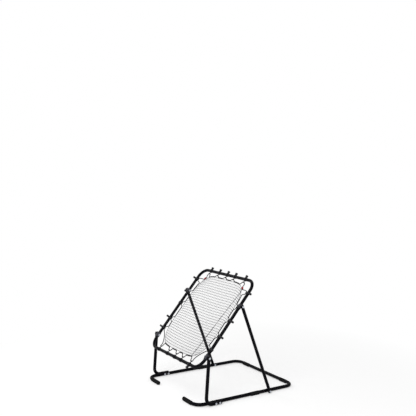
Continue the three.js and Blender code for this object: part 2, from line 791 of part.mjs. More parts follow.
// One run of lacing: straight through each hook's eye, and between hooks down to the net's edge
// and along it
function laceRow({ spots, outward }, along) {
  const eyes = spots.map((spot) => spot.clone().addScaledVector(outward, -eyeFromTube));
  const lead = hookWidth / 2 + cordLead;
  const shares = Array.from({ length: laceSteps }, (_, step) => (step + 1) / laceSteps);
  const ramp = (eye, way) => shares.map((share) => {
    const level = eye.clone().addScaledVector(along, way * (lead + laceRamp * share));
    return level.clone().lerp(edgeTouch(level, outward), THREE.MathUtils.smoothstep(share, 0, 1));
  });
  const route = [];
  eyes.forEach((eye, index) => {
    route.push(eye.clone().addScaledVector(along, -lead), eye.clone().addScaledVector(along, lead));
    if (index === eyes.length - 1) return;
    const next = eyes[index + 1];
    const down = ramp(eye, 1);
    const up = ramp(next, -1).reverse();
    const flatPlaces = shares.slice(0, -1).map((share) => down.at(-1).clone().lerp(up[0], share));
    route.push(...down, ...flatPlaces.map((level) => edgeTouch(level, outward)), ...up);
  });
  return route;
}

// The red ferrules sit outside the net's two upper corners, where the ends of both cords meet
const ferruleLean = THREE.MathUtils.degToRad(52);

function ferrulePlace(sign) {
  const corner = netPoint(sign > 0 ? 1 : 0, 1);
  const away = netStrand * Math.SQRT1_2 + ferruleRadius + seatGap;
  return corner.add(vec(sign * away * Math.sin(ferruleLean), away * Math.cos(ferruleLean), 0));
}

function ferruleRun(sign) {
  return vec(sign * Math.cos(ferruleLean), -Math.sin(ferruleLean), 0);
}

function bendBetween(from, to, corner, steps) {
  const curve = new THREE.QuadraticBezierCurve3(from, corner, to);
  return curve.getPoints(steps).slice(1, -1);
}

function buildLacing(netGroup) {
  const [topRow, leftRow, bottomRow, rightRow] = hookRows;
  const left = ferrulePlace(-1);
  const right = ferrulePlace(1);
  const leftRun = ferruleRun(-1);
  const rightRun = ferruleRun(1);
  const inside = ferruleLength / 2 + overrun;

  const top = laceRow(topRow, vec(1, 0, 0));
  const topStart = left.clone().addScaledVector(leftRun, -seatGap);
  const topEnd = right.clone().addScaledVector(rightRun, -seatGap);
  const leftRise = left.clone().addScaledVector(leftRun, -inside);
  const rightRise = right.clone().addScaledVector(rightRun, -inside);
  const leftOfHooks = Math.min(leftRise.x, top[0].x) - hookWidth;
  const rightOfHooks = Math.max(rightRise.x, top.at(-1).x) + hookWidth;
  const leftTurn = leftRise.clone().lerp(vec(leftOfHooks, top[0].y, 0), riseShare);
  const rightTurn = rightRise.clone().lerp(vec(rightOfHooks, top[0].y, 0), riseShare);
  const topRoute = [
    topStart, leftRise,
    ...bendBetween(leftRise, top[0], leftTurn, laceBendSteps),
    ...top,
    ...bendBetween(top.at(-1), rightRise, rightTurn, laceBendSteps),
    rightRise, topEnd,
  ];

  const down = laceRow(leftRow, vec(0, -1, 0));
  const across = laceRow(bottomRow, vec(1, 0, 0));
  const up = laceRow(rightRow, vec(0, 1, 0));
  const leftFall = left.clone().addScaledVector(leftRun, inside);
  const rightFall = right.clone().addScaledVector(rightRun, inside);
  const lowerLeft = netPoint(0, 0).add(vec(-cornerSlackX, cornerSlackY, 0));
  const lowerRight = netPoint(1, 0).add(vec(cornerSlackX, cornerSlackY, 0));
  const leftShoulder = vec(down[0].x + cordToEdge, leftFall.y, 0);
  const rightShoulder = vec(up[0].x - cordToEdge, rightFall.y, 0);
  const lowerRoute = [
    left.clone().addScaledVector(leftRun, seatGap), leftFall,
    ...bendBetween(leftFall, down[0], leftShoulder, laceBendSteps),
    ...down,
    ...bendBetween(down.at(-1), across[0], lowerLeft, laceCornerSteps),
    ...across,
    ...bendBetween(across.at(-1), up[0], lowerRight, laceCornerSteps),
    ...up,
    ...bendBetween(up.at(-1), rightFall, rightShoulder, laceBendSteps),
    rightFall, right.clone().addScaledVector(rightRun, seatGap),
  ];
  const section = new THREE.Shape(circlePoints(cordRadius, cordSides));
  addPiece(netGroup, 'top_lacing_cord', sweep(section, topRoute), 'elasticCord');
  addPiece(netGroup, 'lower_lacing_cord', sweep(section, lowerRoute), 'elasticCord');

  const shell = ringShape(ferruleRadius, (cordRadius + seatGap) / boreFlatShare, boreSides);
  for (const [side, place, run] of [['left', left, leftRun], ['right', right, rightRun]]) {
    const reaches = [-ferruleLength / 2, ferruleLength / 2];
    const ends = reaches.map((reach) => place.clone().addScaledVector(run, reach));
    addPiece(netGroup, `${side}_cord_ferrule`, sweep(shell, ends), 'redPlastic');
  }
}

const rebounder = new THREE.Group();
buildBase(rebounder);
buildBaseFasteners(rebounder);
const netGroup = buildNetFrame(rebounder);
for (const [side, sign] of [['left', -1], ['right', 1]]) {
  buildPost(rebounder, side, sign);
  buildStrut(rebounder, side, sign);
  buildPivotCollar(netGroup, side, sign);
  buildStrutCollar(netGroup, side, sign);
}
buildHooks(netGroup);
addPiece(netGroup, 'net', netGeometry(), 'netTwine');
buildLacing(netGroup);

export default rebounder;
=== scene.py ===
"""Multi-sport rebounder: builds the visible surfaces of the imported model, its finishes and its studio."""

from math import asin, atan2, cos, pi, radians, sin, sqrt, tan

import bpy
from bpy.props import FloatProperty, FloatVectorProperty, IntProperty, PointerProperty
from bpy.types import Operator, Panel, PropertyGroup
from mathutils import Matrix, Vector
from mathutils.geometry import interpolate_bezier, tessellate_polygon


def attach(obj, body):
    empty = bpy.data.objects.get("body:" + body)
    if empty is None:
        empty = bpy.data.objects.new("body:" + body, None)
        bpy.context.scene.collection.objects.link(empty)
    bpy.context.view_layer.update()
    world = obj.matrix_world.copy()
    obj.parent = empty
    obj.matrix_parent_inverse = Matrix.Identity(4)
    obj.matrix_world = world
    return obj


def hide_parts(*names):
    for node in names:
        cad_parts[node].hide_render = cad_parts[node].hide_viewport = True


bl_info = {
    "name": "Multi-sport Rebounder",
    "version": (1, 0, 0),
    "blender": (4, 5, 0),
    "location": "View3D > Sidebar > Rebounder",
    "description": "Dresses the rebounder's frame, feet, fittings, lacing and net",
    "category": "Object",
}

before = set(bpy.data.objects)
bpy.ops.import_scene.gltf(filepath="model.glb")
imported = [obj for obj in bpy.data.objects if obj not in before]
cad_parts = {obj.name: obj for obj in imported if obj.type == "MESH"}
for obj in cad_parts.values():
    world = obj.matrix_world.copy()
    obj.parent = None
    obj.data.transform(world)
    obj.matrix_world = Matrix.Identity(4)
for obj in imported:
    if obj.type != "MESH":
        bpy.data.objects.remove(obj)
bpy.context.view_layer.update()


def length(name, description, default):
    """A length that a user can set, in metres."""
    return FloatProperty(name=name, description=description, default=default, unit="LENGTH", precision=4)


def rotation(name, description, degrees):
    """An angle that a user can set, with its default in degrees."""
    return FloatProperty(name=name, description=description, default=radians(degrees), unit="ROTATION")


def number(name, description, default, unit="NONE"):
    """A number that a user can set, plain or in a unit."""
    return FloatProperty(name=name, description=description, default=default, unit=unit)


def colour(name, description, default):
    """A linear colour that a user can set."""
    return FloatVectorProperty(name=name, description=description, default=default, subtype="COLOR", min=0, max=1)


# Sizes and colours that a user would change


class BaseSizes(PropertyGroup):
    rail_x: length("Rail offset", "From the middle to a rail's centre line", 0.4915)
    rear_y: length("Half depth", "From the middle to the rear bar's centre line", 0.5965)
    tube_radius: length("Tube radius", "Radius of the base tubes", 0.017)
    bend_radius: length("Bend radius", "Radius of the base's bends at the centre line", 0.09)
    sole: length("Sole thickness", "Rubber between the floor and the base tubes", 0.002)
    sole_half_width: length("Sole half width", "Half the width of a foot's flat sole", 0.012)
    hook_end_x: length("Hook end", "From the middle to the end of a front hook's tube", 0.2625)
    hook_sleeve: length("Hook boot length", "Length of the boot on a front hook", 0.14)
    boot_end: length("Boot end", "Rubber beyond the tube's end", 0.01)
    rail_foot_y: length("Rail foot place", "The rail foot's middle, towards the rear", 0.0915)
    rear_foot_x: length("Rear foot place", "From the middle to a rear foot's middle", 0.33)
    foot_length: length("Foot length", "Length of the rail and rear feet", 0.105)
    rib_pitch: length("Rib pitch", "Distance between the grooves in a foot", 0.0105)
    rib_depth: length("Rib depth", "Depth of the grooves in a foot", 0.0009)


class PostSizes(PropertyGroup):
    post_x: length("Post offset", "From the middle to a post's centre line", 0.5258)
    tube_radius: length("Tube radius", "Radius of the posts", 0.017)
    bend_radius: length("Bend radius", "Radius of a post's bend at the foot", 0.065)
    pivot_y: length("Pivot place", "The pivot's place, towards the rear", -0.485)
    pivot_z: length("Pivot height", "Height of the pivot above the floor", 0.468)
    top_overhang: length("Top overhang", "Tube above the pivot bolt", 0.017)
    foot_end_y: length("Foot end", "Where the post's foot ends on the rail", -0.3345)
    foot_bolt_from_end: length("Foot bolt place", "From the foot's end to its rear bolt", 0.024)
    foot_bolt_pitch: length("Foot bolt pitch", "Between a foot's two bolts", 0.044)
    lean: rotation("Lean", "Lean of the posts to the rear", 3.1)


class StrutSizes(PropertyGroup):
    strut_x: length("Strut offset", "From the middle to a strut's centre line", 0.5248)
    tube_radius: length("Tube radius", "Radius of the struts", 0.016)
    foot_y: length("Foot place", "The foot bolt's place, towards the rear", 0.2575)
    overhang: length("Overhang", "Tube beyond each of the strut's bolts", 0.013)


class NetFrameSizes(PropertyGroup):
    tilt: rotation("Tilt", "Tilt of the net from level", 50)
    tube_radius: length("Tube radius", "Radius of the net frame's tube", 0.016)
    side_x: length("Half width", "From the middle to a side's centre line", 0.486)
    height: length("Length", "From the bottom bar's centre line to the top bar's", 1.017)
    bend_radius: length("Bend radius", "Radius of the net frame's corners", 0.105)
    pivot_v: length("Pivot place", "From the bottom bar to the pivot", 0.134)
    collar_v: length("Collar place", "From the bottom bar to the strut's collar", 0.726)
    collar_outboard: length("Collar reach", "From the tube's centre line to a collar's flat face", 0.0225)
    collar_inboard: length("Collar depth", "From the tube's centre line to a collar's inner face", 0.0206)
    collar_half_depth: length("Collar half depth", "Half the collar's size across the net's face", 0.02)
    pivot_collar_length: length("Pivot collar length", "Along the tube", 0.05)
    strut_collar_length: length("Strut collar length", "Along the tube", 0.03)


class FittingSizes(PropertyGroup):
    bolt_radius: length("Bolt radius", "Radius of the bolts' shanks", 0.004)
    head_radius: length("Head radius", "Radius of the domed heads", 0.012)
    head_height: length("Head height", "Height of the domed heads", 0.011)
    nut_radius: length("Nut radius", "Corner radius of the nuts", 0.0075)
    nut_height: length("Nut height", "Height of the nuts", 0.007)
    flange_radius: length("Flange radius", "Radius of the nuts' flanges", 0.011)
    bolt_tail: length("Bolt tail", "Bolt beyond its nut", 0.004)
    seat_gap: length("Seat gap", "Clearance under a seated fitting", 0.0003)
    hook_width: length("Hook width", "Width of a net hook along its bar", 0.018)
    hook_wall: length("Hook wall", "Wall of a net hook's ring", 0.004)
    eye_width: length("Eye width", "Width of a net hook's neck and eye along its bar", 0.007)
    eye_from_tube: length("Eye distance", "From the tube's centre line to the eye", 0.036)
    eye_wall: length("Eye wall", "Wall of a net hook's eye", 0.0028)
    hook_mouth: rotation("Hook mouth", "Opening of a net hook's ring", 80)
    peg_half_width: length("Peg half width", "Half the peg's width below its knob", 0.0085)
    knob_half_width: length("Knob half width", "Half the width of the peg's knob", 0.0105)
    knob_from: length("Knob place", "From the tube's centre line to the knob", 0.03)
    knob_lead: length("Knob rounding", "Run over which the knob widens and ends", 0.003)
    peg_reach: length("Peg reach", "From the tube's centre line to the peg's tip", 0.045)


class NetSizes(PropertyGroup):
    columns: IntProperty(name="Columns", description="Meshes across the net", default=30, min=4, max=80)
    rows: IntProperty(name="Rows", description="Meshes up the net", default=32, min=4, max=60)
    twine: length("Twine", "Thickness of the twine across the net", 0.0039)
    thread: length("Thread", "Thickness of the twine up the net", 0.0016)
    knot: length("Knot", "Thickness of the knots where the twines cross", 0.0043)
    border: length("Border rope", "Thickness of the rope round the net", 0.0042)
    seam: length("Seam", "Thickness of the seam up the net", 0.005)
    tie: length("Tie", "Thickness of the loops that tie the net to the lacing", 0.0024)
    half_width: length("Half width", "Half the net's width at its middle", 0.415)
    low: length("Low edge", "From the bottom bar to the net's low edge", 0.072)
    high: length("High edge", "From the bottom bar to the net's high edge", 0.957)
    shift: length("Shift", "How far the net hangs towards the right side", 0.0075)
    corner_rise: length("Corner rise", "How far the low corners are drawn up", 0.022)
    corner_drop: length("Corner drop", "How far the high corners are drawn down", 0.049)
    drop_power: number("Drop power", "How sharply the high edge turns down", 6)
    sag: length("Sag", "Depth of the net's belly", 0.042)
    low_taper: number("Low taper", "Share of the width lost at the low edge", 0.29)
    high_taper: number("High taper", "Share of the width lost at the high edge", 0.183)
    taper_power: number("Taper power", "How sharply the net narrows to its ends", 4.5)
    strand: length("Edge strand", "Thickness of the net's edge that the lacing meets", 0.003)
    cord_radius: length("Cord radius", "Radius of the elastic lacing", 0.0043)
    lace_clearance: length("Lacing clearance", "Between the lacing and the net's edge", 0.0005)
    lace_ramp: length("Lacing ramp", "Run over which the lacing drops from a hook to the net's edge", 0.026)
    ferrule_radius: length("Ferrule radius", "Radius of the cord ends' ferrules", 0.009)
    ferrule_length: length("Ferrule length", "Length of the cord ends' ferrules", 0.024)
    ferrule_lean: rotation("Ferrule lean", "Slope of the ferrules at the net's high corners", 52)


class Finishes(PropertyGroup):
    tube: colour("Tube", "Powder coat of the tubes", (0.0022, 0.0021, 0.0042))
    plastic: colour("Black plastic", "Hooks, caps and bolt heads", (0.0022, 0.0022, 0.003))
    collar: colour("Grey plastic", "Collars", (0.0032, 0.0032, 0.0052))
    rubber: colour("Rubber", "Feet", (0.0075, 0.0075, 0.0078))
    zinc: colour("Zinc", "Nuts and bolt ends", (0.82, 0.85, 0.92))
    cord: colour("Elastic cord", "Lacing", (0.007, 0.007, 0.008))
    red: colour("Red plastic", "Cord ferrules", (0.72, 0.008, 0.025))
    twine: colour("Twine", "Net", (0.055, 0.056, 0.06))
    floor: colour("Floor", "Studio floor", (0.88, 0.88, 0.88))


class StudioSizes(PropertyGroup):
    camera: FloatVectorProperty(
        name="Camera place", description="Where the camera stands", default=(5.211, -3.545, 2.135), unit="LENGTH"
    )
    azimuth: rotation("Azimuth", "The camera's bearing", 57.1696)
    elevation: rotation("Elevation", "The camera's downward pitch", 2.505)
    roll: rotation("Roll", "The camera's roll", 0.8966)
    lens: number("Lens", "Focal length on a 36 mm sensor", 51.82, "CAMERA")
    floor_size: length("Floor size", "Side of the studio floor", 60.0)
    floor_lift: number("Floor lift", "How much whiter than its lit colour the floor looks", 0.42)
    world_level: number("Sky level", "Strength of the studio's even light", 0.42)
    key_power: number("Key power", "Power of the main lamp", 95.0, "POWER")
    fill_power: number("Fill power", "Power of the side lamp", 25.0, "POWER")


# Fixed measures, in metres unless said otherwise

SIDES = (("left", -1), ("right", 1))
X_AXIS, Y_AXIS, Z_AXIS = Vector((1, 0, 0)), Vector((0, 1, 0)), Vector((0, 0, 1))

# Each kind of piece: its finish and its material slot
TUBE = ("satin_powder_coat", "black_tube")
BLACK = ("black_plastic", "black_plastic")
GREY = ("grey_plastic", "grey_plastic")
RUBBER = ("foot_rubber", "black_rubber")
BOLT_HEAD = ("black_plastic", "zinc_steel")
NUT = ("zinc_plate", "zinc_steel")
ELASTIC = ("braided_elastic_cord", "elastic_cord")
RED = ("red_plastic", "red_plastic")
TWINE = ("net_twine", "net_twine")

# Places of the hooks, as shares of the net frame's half width or length
TOP_HOOKS = (-0.663, -0.333, -0.02, 0.27, 0.646)
BOTTOM_HOOKS = (-0.626, -0.257, 0.045, 0.305, 0.64)
LEFT_HOOKS = (0.225, 0.349, 0.546, 0.866)
RIGHT_HOOKS = (0.212, 0.358, 0.538, 0.862)
HOOK_TO_COLLAR = 0.001

# How far each hook's peg is turned from outwards towards the net's face, in degrees
TOP_PEGS = (8, 8, 8, 8, 8)
LEFT_PEGS = (53, 30, -20, 76, 40)
BOTTOM_PEGS = (80, 80, 80, 80, 8)
RIGHT_PEGS = (30, -9, -10, 45, -2)

# Shading: the turn from which an edge between two faces stays sharp, and is rounded where a piece asks for it
SHARP_FROM, NET_SHARP_FROM = radians(40), radians(80)
BEVEL_FROM, BEVEL_STEPS = radians(35), 2

# Tubes, and the bores that fit over them
TUBE_SIDES = 36
BEND_STEPS = 14
TUBE_EDGE = 0.0012
FOOT_RUN_ON = 0.001
BORE_GAP = 0.0002

# Rubber feet: sides and cheek angle of the section, rounded ends, and grooves as shares of their pitch and depth
FOOT_SIDES = 26
FOOT_CHEEK = radians(24)
FOOT_EDGE, BOOT_EDGE = 0.002, 0.005
FOOT_PLAIN_END = 0.012
GROOVE_WIDTH = 0.22
GROOVE = ((-1.0, 0.0), (-0.5, 1.0), (0.5, 1.0), (1.0, 0.0))
SOLE_GROOVE, SOLE_SINK = 1.2, 0.9
BOOT_GAP = 0.0003

# Turned pieces: pairs of distance along the axis and how far the skin is sunk below the full radius
DOME_STEPS = 6
CAP_RIM = ((0.0001, 0.0012), (0.0006, 0.0), (0.0022, 0.0), (0.003, 0.0006))
CAP_DOME, CAP_TIP = 0.001, 0.0005
HEAD_RIM = ((0.0, 0.0015), (0.0, 0.0006), (0.0006, 0.0), (0.0026, 0.0), (0.0032, 0.0006))
HEAD_TIP, HEAD_POWER = 0.0004, 0.8
FERRULE_END = ((0.0, 0.0028), (0.0, 0.0012), (0.0012, 0.0))
FERRULE_GROOVE = ((-0.003, 0.0), (-0.0018, 0.0011))
FERRULE_GAP = 0.0003

# Nuts and bolts: the flange, the hexagon over it, and the thread as shares of the bolt's radius
FLANGE_BORE, FLANGE_WAIST = 0.006, 0.0072
FLANGE_EDGE, FLANGE_TOP = 0.0014, 0.0026
HEXAGON_FROM, HEXAGON_CHAMFER, HEXAGON_CROWN = 0.002, 0.001, 0.88
THREAD_PITCH, THREAD_RUN = 0.00125, 0.0012
THREAD = ((0.0, 0.99), (0.0005, 0.9), (0.001, 0.99))
TAIL_END = ((-0.0006, 0.95), (0.0, 0.75))
SHANK_SHARE = 0.98
TOP_SHANK, TOP_SHANK_RADIUS, LOCK_SHANK = 0.034, 0.0038, 0.004

# Collars and hooks
COLLAR_EDGE, COLLAR_BEVEL, COLLAR_BACK = 0.003, 0.0014, 0.999
HOOK_BEVEL = 0.0009

# Lacing
LACE_STEPS = 4
CORD_SIDES = 12
CORD_LEAD = 0.003
CORD_BEYOND_FERRULE = 0.005
CORD_SPACING = 0.004
CORNER_SLACK = Vector((0.018, 0.009, 0))
RISE_SHARE = 0.7

# Net: the power of its low edge's rise, how early its belly is deepest, its knots as pairs of height and width,
# how deep a tie bites, and the places across and up the net frame of a thick twine line drawn up the net, from its low
# end to its high one
RISE_POWER, BELLY_POWER = 4, 0.8
KNOT = ((-0.62, 0.55), (-0.3, 0.98), (0.3, 0.98), (0.62, 0.55))
TIE_BITE = 0.4
THICK_LINE_SPACING, THICK_LINE_PASSES = 0.03, 6
THICK_LINE = (
    (0.262, 0.09),
    (0.262, 0.167),
    (0.2615, 0.285),
    (0.294, 0.548),
    (0.308, 0.61),
    (0.336, 0.727),
    (0.353, 0.8),
    (0.366, 0.86),
    (0.372, 0.9),
)

# Studio: the camera's sensor in millimetres and how far it sees, where the floor turns to plain white,
# and each lamp's place and size, aimed at the object's middle
SENSOR_WIDTH, SIGHT = 36, 200
FLOOR_FADE = (1.0, 3.0)
KEY_PLACE, KEY_SIZE = Vector((2.2, -3.0, 4.2)), 2.6
FILL_PLACE, FILL_SIZE = Vector((-3.6, -1.2, 2.6)), 2.2
LAMP_AIM = Vector((0, 0, 0.5))


def sizes(name):
    """A property group of the scene, by its short name."""
    return getattr(bpy.context.scene, f"rebounder_{name}")


# Shader expressions


class Value:
    """A shader socket that takes part in Python expressions."""

    def __init__(self, nodes, socket):
        self.nodes = nodes
        self.socket = socket

    def maths(self, operation, *terms):
        return self.nodes.node("ShaderNodeMath", {"operation": operation}, dict(enumerate(terms)))

    def __add__(self, other):
        return self.maths("ADD", self, other)

    def __radd__(self, other):
        return self.maths("ADD", other, self)

    def __sub__(self, other):
        return self.maths("SUBTRACT", self, other)

    def __rsub__(self, other):
        return self.maths("SUBTRACT", other, self)

    def __mul__(self, other):
        return self.maths("MULTIPLY", self, other)

    def __rmul__(self, other):
        return self.maths("MULTIPLY", other, self)

    def sine(self):
        return self.maths("SINE", self)

    def clamped(self, low, high):
        """This value's run from low to high, as 0 to 1."""
        inputs = {"Value": self, "From Min": low, "From Max": high}
        return self.nodes.node("ShaderNodeMapRange", {"clamp": True}, inputs)


class Nodes:
    """A node tree, and the nodes that feed its surface."""

    def __init__(self, tree, surface):
        self.tree = tree
        self.surface = tree.nodes[surface]

    def set(self, **surface):
        """Sets or links the surface's inputs, named in lower case with underscores."""
        for name, value in surface.items():
            self.feed(self.surface.inputs[name.replace("_", " ").title().replace("Ior", "IOR")], value)

    def feed(self, socket, value):
        if isinstance(value, Value):
            self.tree.links.new(value.socket, socket)
        elif isinstance(value, tuple):
            socket.default_value = (*value, 1.0) if socket.type == "RGBA" else value
        else:
            socket.default_value = value

    def node(self, kind, settings, inputs, output=0):
        """Adds a node: its settings first, then its sockets by name or number."""
        made = self.tree.nodes.new(kind)
        for name, value in settings.items():
            setattr(made, name, value)
        for name, value in inputs.items():
            self.feed(made.inputs[name], value)
        return Value(self, made.outputs[output])

    def ray(self, kind):
        """Whether a ray is of a kind, such as Camera."""
        return self.node("ShaderNodeLightPath", {}, {}, f"Is {kind} Ray")

    def mix(self, factor, first, second):
        """A colour between two others."""
        return self.node("ShaderNodeMix", {"data_type": "RGBA"}, {0: factor, 6: first, 7: second}, 2)

    def part(self, vector, name):
        """One part of a vector: X, Y or Z."""
        return self.node("ShaderNodeSeparateXYZ", {}, {0: vector}, name)


class Finish(Nodes):
    """A material, and the nodes that feed its surface."""

    def __init__(self, name, **surface):
        self.material = bpy.data.materials.new(name)
        self.material.use_nodes = True
        super().__init__(self.material.node_tree, "Principled BSDF")
        self.set(**surface)

    def place(self):
        """The surface's place in the object's own space, in metres."""
        return self.node("ShaderNodeTexCoord", {}, {}, "Object")

    def noise(self, scale, detail=2.0, roughness=0.5):
        inputs = {"Vector": self.place(), "Scale": scale, "Detail": detail, "Roughness": roughness}
        return self.node("ShaderNodeTexNoise", {}, inputs, "Fac")

    def bump(self, height, distance, strength):
        """A bumped normal. The distance is the relief's height in metres."""
        return self.node("ShaderNodeBump", {}, {"Height": height, "Distance": distance, "Strength": strength})

    def wrap(self, starts, pitch):
        """Angles round a swept piece and along it, for strands that start so often round it and turn at a pitch."""
        unrolled = self.node("ShaderNodeUVMap", {"uv_map": "unrolled"}, {})
        return self.part(unrolled, "X") * (2 * pi * starts), self.part(unrolled, "Y") * (2 * pi / pitch)


def shade(base, level):
    """A colour made lighter or darker."""
    return tuple(min(1.0, part * level) for part in base)


def powder_coat(base):
    """Satin black powder coat: a fine pebble, soft sheen changes and a few dull rubs."""
    finish = Finish("satin_powder_coat", specular_ior_level=0.08)
    pebble = finish.noise(900.0, 3.0, 0.6)
    cloud = finish.noise(9.0, 3.0, 0.55)
    rubs = finish.noise(55.0, 5.0, 0.7).clamped(0.62, 0.78)
    tone = finish.mix(cloud, shade(base, 0.8), shade(base, 1.3))
    finish.set(base_color=finish.mix(rubs * 0.35, tone, shade(base, 2.6)))
    finish.set(roughness=0.33 + cloud * 0.12 + rubs * 0.16, normal=finish.bump(pebble, 0.00006, 0.7))


def moulded_plastic(name, base, rough, gloss=0.18):
    """Moulded plastic with a fine sparked grain."""
    finish = Finish(name, specular_ior_level=gloss)
    grain = finish.noise(1400.0, 2.0, 0.6)
    cloud = finish.noise(40.0, 3.0, 0.5)
    finish.set(base_color=finish.mix(cloud, shade(base, 0.8), shade(base, 1.35)))
    finish.set(roughness=rough + cloud * 0.15, normal=finish.bump(grain, 0.00008, 0.3))


def foot_rubber(base):
    """Matt black rubber, with a little dust caught near the floor."""
    finish = Finish("foot_rubber", specular_ior_level=0.2)
    grain = finish.noise(700.0, 4.0, 0.65)
    low = 1.0 - finish.part(finish.place(), "Z").clamped(0.0, 0.016)
    dust = low * finish.noise(120.0, 4.0, 0.7).clamped(0.35, 0.75)
    finish.set(base_color=finish.mix(dust * 0.3, base, shade(base, 7.0)))
    finish.set(roughness=0.72 + grain * 0.2, normal=finish.bump(grain, 0.00012, 0.6))


def zinc_plate(base):
    """Bright zinc plate with a faint mottling."""
    finish = Finish("zinc_plate", metallic=1.0)
    cloud = finish.noise(260.0, 3.0, 0.6)
    finish.set(base_color=finish.mix(cloud, shade(base, 0.82), shade(base, 1.1)))
    finish.set(roughness=0.24 + cloud * 0.16, normal=finish.bump(finish.noise(1800.0), 0.00003, 0.5))


def braided_cord(base):
    """The woven sheath of elastic cord: two sets of six threads that cross round the cord, with painted highlight on
    their crests and painted shade between them.
    """
    finish = Finish("braided_elastic_cord", specular_ior_level=0.2)
    turn, along = finish.wrap(6, 0.0042)
    weave = (turn + along).sine() * (turn - along).sine() * 0.5 + 0.5
    fleck = finish.noise(900.0).clamped(0.62, 0.72)
    # Painted light and shade: lighter on the weave's crests and darker between the threads, following the bump; the
    # random flecks are the cord's own.
    finish.set(base_color=finish.mix(weave * 0.7 + fleck * 0.3, shade(base, 0.55), shade(base, 1.9)))
    finish.set(roughness=0.9 - weave * 0.18, normal=finish.bump(weave, 0.0004, 0.8))


def twisted_twine(base):
    """Dark grey twisted twine: three slanting strands, with painted shade in the grooves between them."""
    finish = Finish("net_twine", specular_ior_level=0.2)
    turn, along = finish.wrap(3, 0.0065)
    lay = (turn + along).sine() * 0.5 + 0.5
    tone = finish.mix(finish.noise(14.0, 3.0, 0.6), shade(base, 0.84), shade(base, 1.14))
    # Painted shade: the colour darkens in the grooves between the strands, where the bump sinks.
    finish.set(base_color=finish.mix(lay, shade(base, 0.62), tone))
    finish.set(roughness=0.62 + lay * 0.12, normal=finish.bump(lay, 0.0003, 0.8))


def finishes():
    """The materials, made once and then shared."""
    made = bpy.data.materials
    if "satin_powder_coat" not in made:
        look = sizes("finishes")
        powder_coat(tuple(look.tube))
        moulded_plastic("black_plastic", tuple(look.plastic), 0.42, 0.06)
        moulded_plastic("grey_plastic", tuple(look.collar), 0.46, 0.08)
        foot_rubber(tuple(look.rubber))
        zinc_plate(tuple(look.zinc))
        braided_cord(tuple(look.cord))
        moulded_plastic("red_plastic", tuple(look.red), 0.35)
        twisted_twine(tuple(look.twine))
    return made


# Mesh making


def around(place, side, up, pairs):
    """Points round a place, from pairs across and up."""
    return [place + side * a + up * b for a, b in pairs]


class Surface:
    """Gathers rings of points into faces, with an unrolled map for swept pieces."""

    def __init__(self):
        self.points = []
        self.faces = []
        self.map = []

    def ring(self, points):
        """Adds points, and returns their numbers."""
        start = len(self.points)
        self.points.extend(points)
        return range(start, len(self.points))

    def face(self, corners, unrolled=None):
        self.faces.append(tuple(corners))
        self.map.append(unrolled or [(0.0, 0.0)] * len(self.faces[-1]))

    def bridge(self, first, second, low=0.0, high=0.0):
        """A band of faces between two rings, at two distances along the piece."""
        count = len(first)
        for index in range(count):
            onward = (index + 1) % count
            left, right = index / count, (index + 1) / count
            self.face(
                (first[index], first[onward], second[onward], second[index]),
                ((left, low), (right, low), (right, high), (left, high)),
            )

    def rings(self, rings, closed=False):
        """Bridges a run of rings. Returns them as ranges of point numbers."""
        runs = [self.ring(points) for points in rings]
        middles = [sum(points, Vector()) / len(points) for points in rings]
        along = 0.0
        for index in range(len(runs) if closed else len(runs) - 1):
            onward = (index + 1) % len(runs)
            step = (middles[onward] - middles[index]).length
            self.bridge(runs[index], runs[onward], along, along + step)
            along += step
        return runs

    def solid(self, rings):
        """Bridges a run of rings and closes both ends."""
        runs = self.rings(rings)
        self.face(reversed(runs[0]))
        self.face(runs[-1])
        return self

    def sweep(self, path, radius, sides, closed=False, edge=0.0):
        """A round bar along a path. Its ends are rounded over by the given size."""
        radii = [radius] * len(path)
        if edge:
            first, last = (path[1] - path[0]).normalized(), (path[-1] - path[-2]).normalized()
            path = [path[0], path[0] + first * edge, *path[1:-1], path[-1] - last * edge, path[-1]]
            radii = [radius - edge, *radii, radius - edge]
        rings = [around(*spot, circle(size, sides)) for spot, size in zip(frames(path, closed), radii)]
        if closed:
            self.rings(rings, closed=True)
            return self
        return self.solid(rings)

    def turn(self, place, axis, profile, sides):
        """A turned shape. The profile is pairs of distance along the axis and radius."""
        axis = axis.normalized()
        side = axis.orthogonal().normalized()
        up = axis.cross(side)
        return self.solid([around(place + axis * along, side, up, circle(radius, sides)) for along, radius in profile])

    def extrude(self, place, outline, half, *holes):
        """A flat outline with holes, made thick by half to each side of its drawing."""
        rims = [outline, *holes]
        triangles = tessellate_polygon([[Vector((x, y, 0)) for x, y in rim] for rim in rims])
        levels = [[[place @ Vector((x, y, depth)) for x, y in rim] for rim in rims] for depth in (half, -half)]
        for level, flip in zip(levels, (True, False)):
            numbers = self.ring([point for rim in level for point in rim])
            for corners in triangles:
                chosen = [numbers[index] for index in corners]
                self.face(reversed(chosen) if flip else chosen)
        for low, high in zip(*levels):
            self.bridge(self.ring(low), self.ring(high), 0.0, 2 * half)
        return self

    def piece(self, name, look, body, *nodes, bevel=0.0, sharp_from=SHARP_FROM):
        """Makes the mesh an object that rides on a body and stands for the given nodes."""
        material, slot = look
        mesh = bpy.data.meshes.new(name)
        mesh.from_pydata([tuple(point) for point in self.points], [], self.faces)
        layer = mesh.uv_layers.new(name="unrolled")
        layer.data.foreach_set("uv", [part for corners in self.map for corner in corners for part in corner])
        mesh.materials.append(finishes()[material])
        mesh.shade_smooth()
        mesh.set_sharp_from_angle(angle=sharp_from)
        made = bpy.data.objects.new(name, mesh)
        bpy.context.scene.collection.objects.link(made)
        if bevel:
            rounding = made.modifiers.new("rounded edges", "BEVEL")
            rounding.width = bevel
            rounding.segments = BEVEL_STEPS
            rounding.limit_method = "ANGLE"
            rounding.angle_limit = BEVEL_FROM
            rounding.harden_normals = True
        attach(made, body)
        if nodes:
            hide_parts(*nodes)


